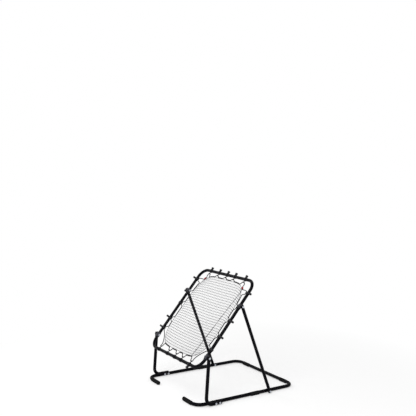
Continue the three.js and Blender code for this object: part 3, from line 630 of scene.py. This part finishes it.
def arc(radius, low, high, steps, centre=0.0):
    """Points of an arc in a plane, as pairs, with both its ends."""
    angles = [low + (high - low) * step / steps for step in range(steps + 1)]
    return [(centre + radius * cos(angle), radius * sin(angle)) for angle in angles]


def circle(radius, sides, turn=0.0):
    """Points of a circle in a plane, as pairs."""
    return arc(radius, turn, turn + 2 * pi, sides)[:-1]


def bent_path(corners, bend_radius, closed=False):
    """A centre line through corners that are rounded to one bend radius."""
    corners = [Vector(corner) for corner in corners]
    path = []
    for index, corner in enumerate(corners):
        if not closed and index in (0, len(corners) - 1):
            path.append(corner)
            continue
        back = (corners[index - 1] - corner).normalized()
        onward = (corners[(index + 1) % len(corners)] - corner).normalized()
        half = back.angle(onward) / 2
        centre = corner + (back + onward).normalized() * (bend_radius / sin(half))
        start = corner + back * (bend_radius / tan(half)) - centre
        axis = start.cross(corner - centre).normalized()
        for step in range(BEND_STEPS + 1):
            path.append(centre + Matrix.Rotation((pi - 2 * half) * step / BEND_STEPS, 3, axis) @ start)
    return path


def smooth_path(points, spacing):
    """A smooth curve through points, with samples about one spacing apart."""
    padded = [2 * points[0] - points[1], *points, 2 * points[-1] - points[-2]]
    path = []
    for before, start, end, after in zip(padded, padded[1:], padded[2:], padded[3:]):
        first, here, last = (sqrt((b - a).length) for a, b in ((before, start), (start, end), (end, after)))
        into = (start - before) / first - (end - before) / (first + here) + (end - start) / here
        out = (end - start) / here - (after - start) / (here + last) + (after - end) / last
        steps = max(1, round((end - start).length / spacing))
        path += interpolate_bezier(start, start + into * here / 3, end - out * here / 3, end, steps + 1)[:-1]
    return [*path, points[-1]]


def frames(path, closed=False):
    """A point, and two directions square to the path, at each of its points, without any twist."""
    before = [path[-1] if closed else path[0], *path[:-1]]
    after = [*path[1:], path[0] if closed else path[-1]]
    runs = [((b - a).normalized() + (c - b).normalized()).normalized() for a, b, c in zip(before, path, after)]
    side = runs[0].orthogonal().normalized()
    found = []
    for point, run in zip(path, runs):
        side = (side - run * side.dot(run)).normalized()
        found.append((point, side, run.cross(side)))
    return found


# Places that several pieces share


def rail_z():
    base = sizes("base")
    return base.tube_radius + base.sole


def net_place():
    """The matrix from the net's flat drawing, x across and y up its sides, to the object's space."""
    posts, net_frame = sizes("posts"), sizes("net_frame")
    pivot = Matrix.Translation((0, posts.pivot_y, posts.pivot_z))
    return pivot @ Matrix.Rotation(net_frame.tilt, 4, "X") @ Matrix.Translation((0, -net_frame.pivot_v, 0))


def fitting_place(origin, x_way, y_way, depth_way):
    """The matrix from a fitting's own flat drawing, laid on the net's, to the object's space."""
    turn = Matrix((x_way, y_way, depth_way)).transposed().to_4x4()
    return net_place() @ Matrix.Translation(origin) @ turn


def clip(share):
    """A share held between 0 and 1."""
    return min(max(share, 0), 1)


def ease(share):
    """A share that starts and ends gently."""
    return share * share * (3 - 2 * share)


def net_point(across, up):
    """A point of the net's surface, over 0 to 1 each way, in the net's flat drawing."""
    net = sizes("net")
    side = 2 * across - 1
    end = 2 * up - 1
    taper = net.high_taper if end > 0 else net.low_taper
    half_width = net.half_width * (1 - taper * abs(end) ** net.taper_power)
    low = net.low + net.corner_rise * side**RISE_POWER
    high = net.high - net.corner_drop * abs(side) ** net.drop_power
    sag = net.sag * cos(side * pi / 2) * sin(pi * clip(up) ** BELLY_POWER)
    return Vector((net.shift + side * half_width, low + (high - low) * up, -sag))


def hook_rows():
    """The four rows of hooks: name, places in the flat drawing, the way outwards, and the pegs' turns."""
    net_frame = sizes("net_frame")
    side, height = net_frame.side_x, net_frame.height
    reach = net_frame.strut_collar_length / 2 + HOOK_TO_COLLAR + sizes("fittings").hook_width / 2
    under = net_frame.collar_v - reach
    left = sorted([*(share * height for share in LEFT_HOOKS), under], reverse=True)
    right = sorted([*(share * height for share in RIGHT_HOOKS), under])
    return (
        ("top", [Vector((share * side, height, 0)) for share in TOP_HOOKS], Y_AXIS, TOP_PEGS),
        ("left", [Vector((-side, place, 0)) for place in left], -X_AXIS, LEFT_PEGS),
        ("bottom", [Vector((share * side, 0, 0)) for share in BOTTOM_HOOKS], -Y_AXIS, BOTTOM_PEGS),
        ("right", [Vector((side, place, 0)) for place in right], X_AXIS, RIGHT_PEGS),
    )


# Tubes, caps and feet


def make_base_tubes():
    base, z = sizes("base"), rail_z()
    x, y, joint = base.rail_x, base.rear_y, base.rail_foot_y
    pipes = {"rear": [(-x, joint, z), (-x, y, z), (x, y, z), (x, joint, z)]}
    for side, sign in SIDES:
        pipes[f"{side}_front"] = [(sign * x, joint, z), (sign * x, -y, z), (sign * base.hook_end_x, -y, z)]
    for name, corners in pipes.items():
        pipe = Surface().sweep(bent_path(corners, base.bend_radius), base.tube_radius, TUBE_SIDES)
        pipe.piece(f"{name}_base_pipe", TUBE, "base", f"{name}_base_tube")


def foot_profile(radius, half_width, sole):
    """A round section with a flat sole, as pairs across and up."""
    angle = atan2(half_width, sole) + FOOT_CHEEK
    skin = arc(radius, angle - pi / 2, pi * 1.5 - angle, FOOT_SIDES)
    return [*skin, *((half_width * share, -sole) for share in (-1.0, -0.5, 0.5, 1.0))]


def foot_stations(start, end, edge):
    """Distances along a foot, each with how far its skin is sunk, for grooves and rounded ends."""
    base = sizes("base")
    stations = [(start, edge), (start + edge, 0.0)]
    groove = start + FOOT_PLAIN_END
    while groove < end - FOOT_PLAIN_END:
        for offset, sunk in GROOVE:
            stations.append((groove + offset * base.rib_pitch * GROOVE_WIDTH, sunk * base.rib_depth))
        groove += base.rib_pitch
    return [*stations, (end - FOOT_EDGE, 0.0), (end, FOOT_EDGE)]


def foot_surface(place, run, start, end, edge, bore_from):
    """A rubber foot round a tube: skin, end faces and bore. A bore that stops short makes a boot."""
    base = sizes("base")
    across = Z_AXIS.cross(run)
    radius, inner = base.tube_radius + base.sole, base.tube_radius + BORE_GAP
    stations = foot_stations(start, end, edge)
    outlines = []
    for _, sunk in stations:
        sole = radius - min(sunk, base.rib_depth * SOLE_GROOVE) * SOLE_SINK
        outlines.append(foot_profile(radius - sunk, base.sole_half_width - sunk / 2, sole))
    angles = [atan2(b, a) for a, b in outlines[0]]
    bore = [(inner * cos(angle), inner * sin(angle)) for angle in angles]
    surface = Surface()
    rings = zip(stations, outlines)
    skin = surface.rings([around(place + run * along, across, Z_AXIS, outline) for (along, _), outline in rings])
    inside = surface.rings([around(place + run * along, across, Z_AXIS, bore) for along in (end, bore_from)])
    surface.bridge(skin[-1], inside[0])
    if bore_from == start:
        surface.bridge(inside[-1], skin[0])
    else:
        surface.face(reversed(skin[0]))
        surface.face(inside[-1])
    return surface


def make_feet():
    base, z = sizes("base"), rail_z()
    half = base.foot_length / 2
    for side, sign in SIDES:
        hook_end = Vector((sign * base.hook_end_x, -base.rear_y, z))
        start = -base.boot_end - BOOT_GAP
        boot = foot_surface(hook_end, X_AXIS * sign, start, base.hook_sleeve, BOOT_EDGE, -BOOT_GAP)
        boot.piece(f"{side}_hook_rubber", RUBBER, "base", f"{side}_hook_boot")
        spots = (
            ("rail", Vector((sign * base.rail_x, base.rail_foot_y, z)), Y_AXIS),
            ("rear", Vector((sign * base.rear_foot_x, base.rear_y, z)), X_AXIS),
        )
        for kind, place, run in spots:
            foot = foot_surface(place, run, -half, half, FOOT_EDGE, -half)
            foot.piece(f"{side}_{kind}_rubber", RUBBER, "base", f"{side}_{kind}_foot")


def dome_steps():
    """A dome's steps from its shoulder to its top, as pairs of shrinking width and growing height."""
    return arc(1.0, 0.0, pi / 2, DOME_STEPS)[1:]


def end_cap(place, axis, radius):
    """A moulded cap on a tube's end, with a rolled rim and a shallow dome."""
    profile = [(along, radius - sunk) for along, sunk in CAP_RIM]
    shoulder, wide = profile[-1]
    profile += [(shoulder + CAP_DOME * rise, CAP_TIP + (wide - CAP_TIP) * level) for level, rise in dome_steps()]
    return Surface().turn(place, axis, profile, sides=32)


def make_posts():
    posts, z = sizes("posts"), rail_z()
    upright = Vector((0, sin(posts.lean), cos(posts.lean)))
    for side, sign in SIDES:
        pivot = Vector((sign * posts.post_x, posts.pivot_y, posts.pivot_z))
        top = pivot + upright * posts.top_overhang
        heel = pivot - upright * ((posts.pivot_z - z) / cos(posts.lean))
        foot = Vector((sign * posts.post_x, posts.foot_end_y + FOOT_RUN_ON, z))
        path = bent_path([top, heel, foot], posts.bend_radius)
        pipe = Surface().sweep(path, posts.tube_radius, TUBE_SIDES, edge=TUBE_EDGE)
        pipe.piece(f"{side}_post_pipe", TUBE, "base", f"{side}_post")
        end_cap(top, upright, posts.tube_radius).piece(f"{side}_post_cap", BLACK, "base", f"{side}_post_top_cap")


def make_struts():
    struts = sizes("struts")
    for side, sign in SIDES:
        foot = Vector((sign * struts.strut_x, struts.foot_y, rail_z()))
        top = net_place() @ Vector((sign * struts.strut_x, sizes("net_frame").collar_v, 0))
        run = (top - foot).normalized()
        low, high = foot - run * (struts.overhang + FOOT_RUN_ON), top + run * struts.overhang
        pipe = Surface().sweep([low, foot, top, high], struts.tube_radius, TUBE_SIDES, edge=TUBE_EDGE)
        pipe.piece(f"{side}_strut_pipe", TUBE, f"{side}_strut", f"{side}_strut")
        cap = end_cap(high, run, struts.tube_radius)
        cap.piece(f"{side}_strut_cap", BLACK, f"{side}_strut", f"{side}_strut_top_cap")


def make_net_frame():
    net_frame, place = sizes("net_frame"), net_place()
    x, top = net_frame.side_x, net_frame.height
    path = bent_path([(-x, 0, 0), (x, 0, 0), (x, top, 0), (-x, top, 0)], net_frame.bend_radius, closed=True)
    pipe = Surface().sweep([place @ point for point in path], net_frame.tube_radius, TUBE_SIDES, closed=True)
    pipe.piece("net_frame_pipe", TUBE, "net_frame", "net_frame")


# Collars, bolts and nuts


def collar_outline():
    """A collar's section: flat outboard face, rounded inboard."""
    net_frame = sizes("net_frame")
    out, inner, half = net_frame.collar_outboard, net_frame.collar_inboard * COLLAR_BACK, net_frame.collar_half_depth
    front = [(out, COLLAR_EDGE - half), (out, half - COLLAR_EDGE), (out - COLLAR_EDGE, half)]
    back = [(inner * x, half * y) for x, y in arc(1.0, pi / 2, pi * 1.5, steps=8)]
    return [*front, *back, (out - COLLAR_EDGE, -half)]


def make_collars():
    net_frame = sizes("net_frame")
    bore = circle(net_frame.tube_radius + BORE_GAP, sides=32)[::-1]
    kinds = (
        ("pivot", net_frame.pivot_v, net_frame.pivot_collar_length, "net_frame"),
        ("strut", net_frame.collar_v, net_frame.strut_collar_length, None),
    )
    for kind, middle, size, body in kinds:
        for side, sign in SIDES:
            origin = Vector((sign * net_frame.side_x, middle, 0))
            section = fitting_place(origin, X_AXIS * sign, Z_AXIS * sign, Y_AXIS)
            clamp = Surface().extrude(section, collar_outline(), size / 2, bore)
            node = f"{side}_{kind}_collar"
            clamp.piece(f"{side}_{kind}_clamp", GREY, body or f"{side}_collar", node, bevel=COLLAR_BEVEL)


def domed_head(x, y, z):
    """A domed bolt head whose seat faces the right side."""
    fittings = sizes("fittings")
    profile = [(along, fittings.head_radius - sunk) for along, sunk in HEAD_RIM]
    shoulder, wide = profile[-1]
    rise = fittings.head_height - shoulder
    profile += [(shoulder + rise * b, max(HEAD_TIP, wide * a**HEAD_POWER)) for a, b in dome_steps()]
    return Surface().turn(Vector((x - fittings.seat_gap, y, z)), -X_AXIS, profile, sides=40)


def nut_and_tail(x, y, z, shank):
    """A flanged nut that faces the right side, with the bolt's end beyond it and its shank before it."""
    fittings, seat = sizes("fittings"), Vector((x, y, z))
    low, bolt, wide = fittings.seat_gap, fittings.bolt_radius, fittings.flange_radius
    high = low + fittings.nut_height
    flange = [(low, FLANGE_BORE), (low, wide), (low + FLANGE_EDGE, wide), (low + FLANGE_TOP, FLANGE_WAIST)]
    surface = Surface().turn(seat, X_AXIS, flange, sides=36)
    side = X_AXIS.orthogonal().normalized()
    up = X_AXIS.cross(side)
    hexagon = circle(fittings.nut_radius, sides=6, turn=pi / 6)
    levels = ((low + HEXAGON_FROM, 1.0), (high - HEXAGON_CHAMFER, 1.0), (high, HEXAGON_CROWN))
    surface.solid([around(seat + X_AXIS * along, side * size, up * size, hexagon) for along, size in levels])
    end = high + fittings.bolt_tail
    tail = [(-shank, bolt * SHANK_SHARE)]
    thread = high
    while thread < end - THREAD_RUN:
        tail += [(thread + along, bolt * share) for along, share in THREAD]
        thread += THREAD_PITCH
    tail += [(end + along, bolt * share) for along, share in TAIL_END]
    return surface.turn(seat, X_AXIS, tail, sides=28)


def make_bolts():
    base, posts, struts, z = sizes("base"), sizes("posts"), sizes("struts"), rail_z()
    net_frame = sizes("net_frame")
    inner_rail = base.rail_x - base.tube_radius
    inner_collar = net_frame.side_x - net_frame.collar_inboard
    post_outer = posts.post_x + posts.tube_radius
    strut_outer = struts.strut_x + struts.tube_radius
    rear_bolt = posts.foot_end_y - posts.foot_bolt_from_end
    rows = (
        ("front_post_foot_bolt", inner_rail, post_outer, rear_bolt - posts.foot_bolt_pitch, z),
        ("rear_post_foot_bolt", inner_rail, post_outer, rear_bolt, z),
        ("strut_foot_bolt", inner_rail, strut_outer, struts.foot_y, z),
        ("pivot_bolt", inner_collar, post_outer, posts.pivot_y, posts.pivot_z),
    )
    for name, inner, outer, y, height in rows:
        for side, sign in SIDES:
            low, high = sorted((sign * inner, sign * outer))
            node = f"{side}_{name}"
            domed_head(low, y, height).piece(f"{node}_head", BOLT_HEAD, "base")
            nut_and_tail(high, y, height, high - low).piece(f"{node}_nut", NUT, "base", node)
    make_collar_fittings(inner_collar, strut_outer)


def make_collar_fittings(inner, outer):
    """The struts' top bolts and the collars' lock screws."""
    _, y, z = net_place() @ Vector((0, sizes("net_frame").collar_v, 0))
    head, shank = domed_head(-outer, y, z), [(0.0, TOP_SHANK_RADIUS), (TOP_SHANK, TOP_SHANK_RADIUS)]
    head.turn(Vector((-outer, y, z)), X_AXIS, shank, sides=20)
    head.piece("left_strut_top_bolt_head", BLACK, "left_collar", "left_strut_top_bolt")
    screw = nut_and_tail(-inner, y, z, LOCK_SHANK)
    screw.piece("left_collar_lock_nut", NUT, "left_collar", "left_collar_lock_screw")
    nut = nut_and_tail(outer, y, z, TOP_SHANK)
    nut.piece("right_strut_top_nut", NUT, "right_collar", "right_strut_top_bolt")
    lock = domed_head(inner, y, z)
    lock.piece("right_collar_lock_head", BLACK, "right_collar", "right_collar_lock_screw")


# Hooks


def peg_outline(peg_turn):
    """A hook's peg with its knob, turned from outwards towards the net's face."""
    fittings = sizes("fittings")
    thin, thick, lead = fittings.peg_half_width, fittings.knob_half_width, fittings.knob_lead
    half = [(fittings.knob_from, thin)]
    for share in (0.25, 0.5, 0.75, 1.0):
        half.append((fittings.knob_from + lead * share, thin + (thick - thin) * ease(share)))
    tip = fittings.peg_reach - lead
    half += [(tip + x, thick - lead + y) for x, y in reversed(arc(lead, 0, pi / 2, steps=5))]
    turn = Matrix.Rotation(peg_turn, 2)
    return [tuple(turn @ Vector(point)) for point in [(x, -y) for x, y in half] + half[::-1]]


def ring_outline(peg_turn):
    """A net hook's ring and peg from the side: x outwards, y away from the mouth."""
    fittings = sizes("fittings")
    ring_in = sizes("net_frame").tube_radius + fittings.seat_gap
    ring_out = ring_in + fittings.hook_wall
    start = (fittings.hook_mouth - pi) / 2
    end = start + 2 * pi - fittings.hook_mouth
    peg = asin(fittings.peg_half_width / ring_out)
    before, after = arc(ring_out, start, peg_turn - peg, steps=5), arc(ring_out, peg_turn + peg, end, steps=14)
    return [*before, *peg_outline(peg_turn), *after, *arc(ring_in, end, start, steps=22)]


def eye_outline(bore):
    """A net hook's neck and eye from the side. The neck starts inside the ring's wall."""
    fittings = sizes("fittings")
    root = -sizes("net_frame").tube_radius - fittings.seat_gap - fittings.hook_wall / 2
    eye, half = bore + fittings.eye_wall, fittings.eye_wall
    into = asin(half / eye)
    rim = arc(eye, into, 2 * pi - into, steps=16, centre=-fittings.eye_from_tube)
    return [(root, half), *rim, (root, -half)]


def make_hooks():
    fittings = sizes("fittings")
    bore = sizes("net").cord_radius + fittings.seat_gap
    hole = [(x - fittings.eye_from_tube, y) for x, y in circle(bore, sides=18)][::-1]
    for row, spots, outward, peg_turns in hook_rows():
        along = Z_AXIS.cross(outward)
        for index, (spot, peg_turn) in enumerate(zip(spots, peg_turns), 1):
            side_view = fitting_place(spot, outward, Z_AXIS, along)
            hook = Surface().extrude(side_view, ring_outline(radians(peg_turn)), fittings.hook_width / 2)
            hook.extrude(side_view, eye_outline(bore), fittings.eye_width / 2, hole)
            hook.piece(f"{row}_hook_{index}", BLACK, "net_frame", f"{row}_net_hook_{index}", bevel=HOOK_BEVEL)


# Lacing


def edge_gap():
    """From the lacing's centre line to the net's edge."""
    net = sizes("net")
    return net.strand / 2 + net.cord_radius + net.lace_clearance


def edge_touch(spot, outward):
    """Where the lacing meets the net's edge abreast of a place between two hooks."""
    net = sizes("net")
    if outward.x == 0:
        end = 1 if outward.y > 0 else 0
        left, right = net_point(0, end).x, net_point(1, end).x
        edge = net_point(clip((spot.x - left) / (right - left)), end)
        return Vector((spot.x, edge.y + outward.y * edge_gap(), 0))
    edge = net_point(1 if outward.x > 0 else 0, clip((spot.y - net.low) / (net.high - net.low)))
    return Vector((edge.x + outward.x * edge_gap(), spot.y, 0))


def lace_row(spots, outward):
    """One side's lacing: straight through each eye, and between hooks down to the net's edge and along it."""
    fittings, net = sizes("fittings"), sizes("net")
    along = (spots[-1] - spots[0]).normalized()
    eyes = [spot - outward * fittings.eye_from_tube for spot in spots]
    lead = fittings.hook_width / 2 + CORD_LEAD
    shares = [(step + 1) / LACE_STEPS for step in range(LACE_STEPS)]

    def ramp(eye, way):
        levels = [eye + along * way * (lead + net.lace_ramp * share) for share in shares]
        return [level.lerp(edge_touch(level, outward), ease(share)) for level, share in zip(levels, shares)]

    route = [eyes[0] - along * lead, eyes[0] + along * lead]
    for eye, onward in zip(eyes, eyes[1:]):
        down, up = ramp(eye, 1), ramp(onward, -1)[::-1]
        between = [edge_touch(down[-1].lerp(up[0], share), outward) for share in shares[:-1]]
        route += [*down, *between, *up, onward - along * lead, onward + along * lead]
    return route


def ferrule_line(sign):
    """A ferrule's middle and the way its cord runs through it, downwards and outwards."""
    net = sizes("net")
    across, up = sign * sin(net.ferrule_lean), cos(net.ferrule_lean)
    away = net.strand * sqrt(0.5) + net.ferrule_radius + FERRULE_GAP
    middle = net_point(1 if sign > 0 else 0, 1) + Vector((across, up, 0)) * away
    return middle, Vector((sign * up, -sign * across, 0))


def bend(start, end, corner, steps=3):
    """Inner points of a quadratic curve."""
    shares = [step / steps for step in range(1, steps)]
    return [(1 - t) ** 2 * start + 2 * t * (1 - t) * corner + t * t * end for t in shares]


def lacing_routes():
    """The two cords' centre lines in the flat drawing: over the top row, and round the other three."""
    (left, left_run), (right, right_run) = (ferrule_line(sign) for _, sign in SIDES)
    inside = sizes("net").ferrule_length / 2 + CORD_BEYOND_FERRULE
    left_rise, right_rise = left - left_run * inside, right - right_run * inside
    left_fall, right_fall = left + left_run * inside, right + right_run * inside
    top, down, across, up = (lace_row(spots, outward) for _, spots, outward, _ in hook_rows())
    hook_width, level = sizes("fittings").hook_width, top[0].y
    left_turn = left_rise.lerp(Vector((min(left_rise.x, top[0].x) - hook_width, level, 0)), RISE_SHARE)
    right_turn = right_rise.lerp(Vector((max(right_rise.x, top[-1].x) + hook_width, level, 0)), RISE_SHARE)
    high_left = Vector((down[0].x + edge_gap(), left_fall.y, 0))
    high_right = Vector((up[0].x - edge_gap(), right_fall.y, 0))
    low_left, low_right = net_point(0, 0), net_point(1, 0) + CORNER_SLACK
    over = [left, left_rise, *bend(left_rise, top[0], left_turn), *top]
    over += [*bend(top[-1], right_rise, right_turn), right_rise, right]
    round_net = [left, left_fall, *bend(left_fall, down[0], high_left), *down]
    round_net += [*bend(down[-1], across[0], low_left, steps=5), *across]
    round_net += [*bend(across[-1], up[0], low_right, steps=5), *up]
    round_net += [*bend(up[-1], right_fall, high_right), right_fall, right]
    return smooth_path(over, CORD_SPACING), smooth_path(round_net, CORD_SPACING)


def make_lacing():
    place = net_place()
    for name, route in zip(("top_lacing", "lower_lacing"), lacing_routes()):
        cord = Surface().sweep([place @ point for point in route], sizes("net").cord_radius, CORD_SIDES)
        cord.piece(f"{name}_elastic", ELASTIC, "net_frame", f"{name}_cord")


def make_ferrules():
    net, place = sizes("net"), net_place()
    half, radius = net.ferrule_length / 2, net.ferrule_radius
    low = [(along - half, radius - sunk) for along, sunk in FERRULE_END]
    low += [(along, radius - sunk) for along, sunk in FERRULE_GROOVE]
    profile = [*low, *((-along, size) for along, size in reversed(low))]
    for side, sign in SIDES:
        middle, run = ferrule_line(sign)
        ferrule = Surface().turn(place @ middle, place.to_3x3() @ run, profile, sides=32)
        ferrule.piece(f"{side}_ferrule", RED, "net_frame", f"{side}_cord_ferrule")


# Net


def tie_loops(surface, place, edge):
    """Loops of twine that hold the net's edge rope to the lacing wherever the two run side by side."""
    net = sizes("net")
    cord = [point for route in lacing_routes() for point in route]
    rope = net.border / 2
    rise = net.cord_radius + net.tie * TIE_BITE
    for here in edge:
        near = min(cord, key=lambda point: (point - here).length)
        gap = (near - here).length
        if gap > rope + net.cord_radius + net.tie:
            continue
        out = (near - here).normalized()
        middle = (here - out * rope + near + out * net.cord_radius) / 2
        half = (gap + rope + net.cord_radius) / 2 + net.tie * TIE_BITE
        loop = around(middle, out * half, Z_AXIS * rise, circle(1.0, sides=16))
        surface.sweep([place @ point for point in loop], net.tie / 2, sides=6, closed=True)


def thick_line_path():
    """The centre line of a thick twine line drawn up the net, on the net's surface from its low edge to its high one.
    """
    net = sizes("net")
    path = []
    for x, y, _ in smooth_path([Vector((x, y, 0)) for x, y in THICK_LINE], THICK_LINE_SPACING):
        up = (y - net.low) / (net.high - net.low)
        for _ in range(THICK_LINE_PASSES):
            left, right = net_point(0, up).x, net_point(1, up).x
            across = (x - left) / (right - left)
            up += (y - net_point(across, up).y) / (net.high - net.low)
        path.append(net_point(clip(across), clip(up)))
    return path


def make_net():
    net, place = sizes("net"), net_place()
    columns, rows = net.columns, net.rows
    surface = Surface()
    grid = [[place @ net_point(i / columns, j / rows) for i in range(columns + 1)] for j in range(rows + 1)]
    for row in grid[1:-1]:
        surface.sweep(row, net.twine / 2, sides=6)
    for column in list(zip(*grid))[1:-1]:
        surface.sweep(column, net.thread / 2, sides=6)
    normal = (place.to_3x3() @ Z_AXIS).normalized()
    slope, size = normal.cross(X_AXIS).normalized(), net.knot / 2
    for crossing in (point for row in grid[1:-1] for point in row[1:-1]):
        levels = [(crossing + normal * size * height, share) for height, share in KNOT]
        surface.solid([around(level, X_AXIS * share, slope * share, circle(size, sides=6)) for level, share in levels])
    rim = [(i, 0) for i in range(columns)] + [(columns, j) for j in range(rows)]
    rim += [(i, rows) for i in range(columns, 0, -1)] + [(0, j) for j in range(rows, 0, -1)]
    edge = [net_point(i / columns, j / rows) for i, j in rim]
    surface.sweep([place @ point for point in edge], net.border / 2, sides=8, closed=True)
    tie_loops(surface, place, edge)
    # A thick twine line drawn up the net's right part, from its low edge to its high one.
    surface.sweep([place @ point for point in thick_line_path()], net.seam / 2, sides=8)
    surface.piece("knotted_net", TWINE, "net_frame", "net", sharp_from=NET_SHARP_FROM)


# Studio


def place_object(name, data, place):
    """Puts a new object in the scene."""
    made = bpy.data.objects.new(name, data)
    made.matrix_world = place
    bpy.context.scene.collection.objects.link(made)
    return made


def make_studio():
    make_camera()
    make_floor()
    make_lights()
    bpy.context.scene.view_settings.view_transform = "Standard"


def make_camera():
    studio = sizes("studio")
    data = bpy.data.cameras.new("studio_camera")
    data.sensor_width = SENSOR_WIDTH
    data.lens = studio.lens
    data.clip_end = SIGHT
    bearing = Matrix.Rotation(studio.azimuth, 4, "Z") @ Matrix.Rotation(pi / 2 - studio.elevation, 4, "X")
    turn = bearing @ Matrix.Rotation(studio.roll, 4, "Z")
    bpy.context.scene.camera = place_object("studio_camera", data, Matrix.Translation(studio.camera) @ turn)


def make_floor():
    studio = sizes("studio")
    half = studio.floor_size / 2
    mesh = bpy.data.meshes.new("studio_floor")
    mesh.from_pydata([(-half, -half, 0), (half, -half, 0), (half, half, 0), (-half, half, 0)], [], [(0, 1, 2, 3)])
    finish = Finish("studio_floor", roughness=0.9, specular_ior_level=0.1)
    distance = finish.node("ShaderNodeVectorMath", {"operation": "LENGTH"}, {0: finish.place()}, "Value")
    seen = finish.ray("Camera")
    lift = finish.mix(seen, (0.0, 0.0, 0.0), (1.0, 1.0, 1.0))
    finish.set(base_color=tuple(sizes("finishes").floor), emission_color=lift, emission_strength=studio.floor_lift)
    far = distance.clamped(*FLOOR_FADE) * (seen + finish.ray("Glossy"))
    white = finish.node("ShaderNodeEmission", {}, {"Strength": 1.0})
    blend = finish.node("ShaderNodeMixShader", {}, {0: far, 1: Value(finish, finish.surface.outputs[0]), 2: white})
    finish.feed(finish.tree.nodes["Material Output"].inputs[0], blend)
    mesh.materials.append(finish.material)
    floor = place_object("studio_floor", mesh, Matrix())


def make_lights():
    studio = sizes("studio")
    world = bpy.data.worlds.new("studio_sky")
    world.use_nodes = True
    bpy.context.scene.world = world
    sky = Nodes(world.node_tree, "Background")
    seen = sky.ray("Camera")
    plain = seen.maths("MAXIMUM", seen, sky.ray("Transmission"))
    sky.set(color=sky.mix(plain, (studio.world_level,) * 3, (1.0, 1.0, 1.0)), strength=1.0)
    lamps = (
        ("key_lamp", KEY_PLACE, KEY_SIZE, studio.key_power),
        ("fill_lamp", FILL_PLACE, FILL_SIZE, studio.fill_power),
    )
    for name, place, size, power in lamps:
        data = bpy.data.lights.new(name, "AREA")
        data.energy = power
        data.size = size
        turn = (place - LAMP_AIM).to_track_quat("Z", "Y").to_matrix().to_4x4()
        place_object(name, data, Matrix.Translation(place) @ turn)


# Operators, one for each piece or group of like pieces


class REBOUNDER_OT_studio(Operator):
    """Set the camera, the floor and the lamps"""

    bl_idname = "rebounder.studio"
    bl_label = "Studio"

    def execute(self, context):
        make_studio()
        return {"FINISHED"}


class REBOUNDER_OT_base_tubes(Operator):
    """Make the base's rear tube and its two front tubes"""

    bl_idname = "rebounder.base_tubes"
    bl_label = "Base Tubes"

    def execute(self, context):
        make_base_tubes()
        return {"FINISHED"}


class REBOUNDER_OT_feet(Operator):
    """Make the rubber boots and feet under the base"""

    bl_idname = "rebounder.feet"
    bl_label = "Rubber Feet"

    def execute(self, context):
        make_feet()
        return {"FINISHED"}


class REBOUNDER_OT_posts(Operator):
    """Make the front posts and their caps"""

    bl_idname = "rebounder.posts"
    bl_label = "Posts"

    def execute(self, context):
        make_posts()
        return {"FINISHED"}


class REBOUNDER_OT_struts(Operator):
    """Make the rear struts and their caps"""

    bl_idname = "rebounder.struts"
    bl_label = "Struts"

    def execute(self, context):
        make_struts()
        return {"FINISHED"}


class REBOUNDER_OT_net_frame(Operator):
    """Make the tube frame that holds the net"""

    bl_idname = "rebounder.net_frame"
    bl_label = "Net Frame"

    def execute(self, context):
        make_net_frame()
        return {"FINISHED"}


class REBOUNDER_OT_collars(Operator):
    """Make the pivot collars and the struts' sliding collars"""

    bl_idname = "rebounder.collars"
    bl_label = "Collars"

    def execute(self, context):
        make_collars()
        return {"FINISHED"}


class REBOUNDER_OT_bolts(Operator):
    """Make the bolts, nuts and lock screws"""

    bl_idname = "rebounder.bolts"
    bl_label = "Bolts and Nuts"

    def execute(self, context):
        make_bolts()
        return {"FINISHED"}


class REBOUNDER_OT_hooks(Operator):
    """Make the snap-on hooks that carry the lacing"""

    bl_idname = "rebounder.hooks"
    bl_label = "Net Hooks"

    def execute(self, context):
        make_hooks()
        return {"FINISHED"}


class REBOUNDER_OT_net(Operator):
    """Make the knotted net"""

    bl_idname = "rebounder.net"
    bl_label = "Net"

    def execute(self, context):
        make_net()
        return {"FINISHED"}


class REBOUNDER_OT_lacing(Operator):
    """Make the elastic lacing and the ferrules at its ends"""

    bl_idname = "rebounder.lacing"
    bl_label = "Elastic Lacing"

    def execute(self, context):
        make_lacing()
        make_ferrules()
        return {"FINISHED"}


OPERATORS = (
    REBOUNDER_OT_studio,
    REBOUNDER_OT_base_tubes,
    REBOUNDER_OT_feet,
    REBOUNDER_OT_posts,
    REBOUNDER_OT_struts,
    REBOUNDER_OT_net_frame,
    REBOUNDER_OT_collars,
    REBOUNDER_OT_bolts,
    REBOUNDER_OT_hooks,
    REBOUNDER_OT_net,
    REBOUNDER_OT_lacing,
)


class REBOUNDER_PT_panel(Panel):
    """The rebounder's sizes, finishes and makers"""

    bl_label = "Rebounder"
    bl_idname = "REBOUNDER_PT_panel"
    bl_space_type = "VIEW_3D"
    bl_region_type = "UI"
    bl_category = "Rebounder"

    def draw(self, context):
        layout = self.layout
        for operator in OPERATORS:
            layout.operator(operator.bl_idname)
        for name in GROUPS:
            box = layout.box()
            box.label(text=name.replace("rebounder_", "").replace("_", " ").title())
            group = getattr(context.scene, name)
            for setting in group.__annotations__:
                box.prop(group, setting)


GROUPS = {
    "rebounder_base": BaseSizes,
    "rebounder_posts": PostSizes,
    "rebounder_struts": StrutSizes,
    "rebounder_net_frame": NetFrameSizes,
    "rebounder_fittings": FittingSizes,
    "rebounder_net": NetSizes,
    "rebounder_finishes": Finishes,
    "rebounder_studio": StudioSizes,
}


def register():
    for group in (*GROUPS.values(), *OPERATORS, REBOUNDER_PT_panel):
        bpy.utils.register_class(group)
    for name, group in GROUPS.items():
        setattr(bpy.types.Scene, name, PointerProperty(type=group))


def unregister():
    for name in GROUPS:
        delattr(bpy.types.Scene, name)
    for group in reversed((*GROUPS.values(), *OPERATORS, REBOUNDER_PT_panel)):
        bpy.utils.unregister_class(group)


def main():
    register()
    for operator in OPERATORS:
        getattr(bpy.ops.rebounder, operator.bl_idname.split(".")[1])()


if __name__ == "__main__":
    main()
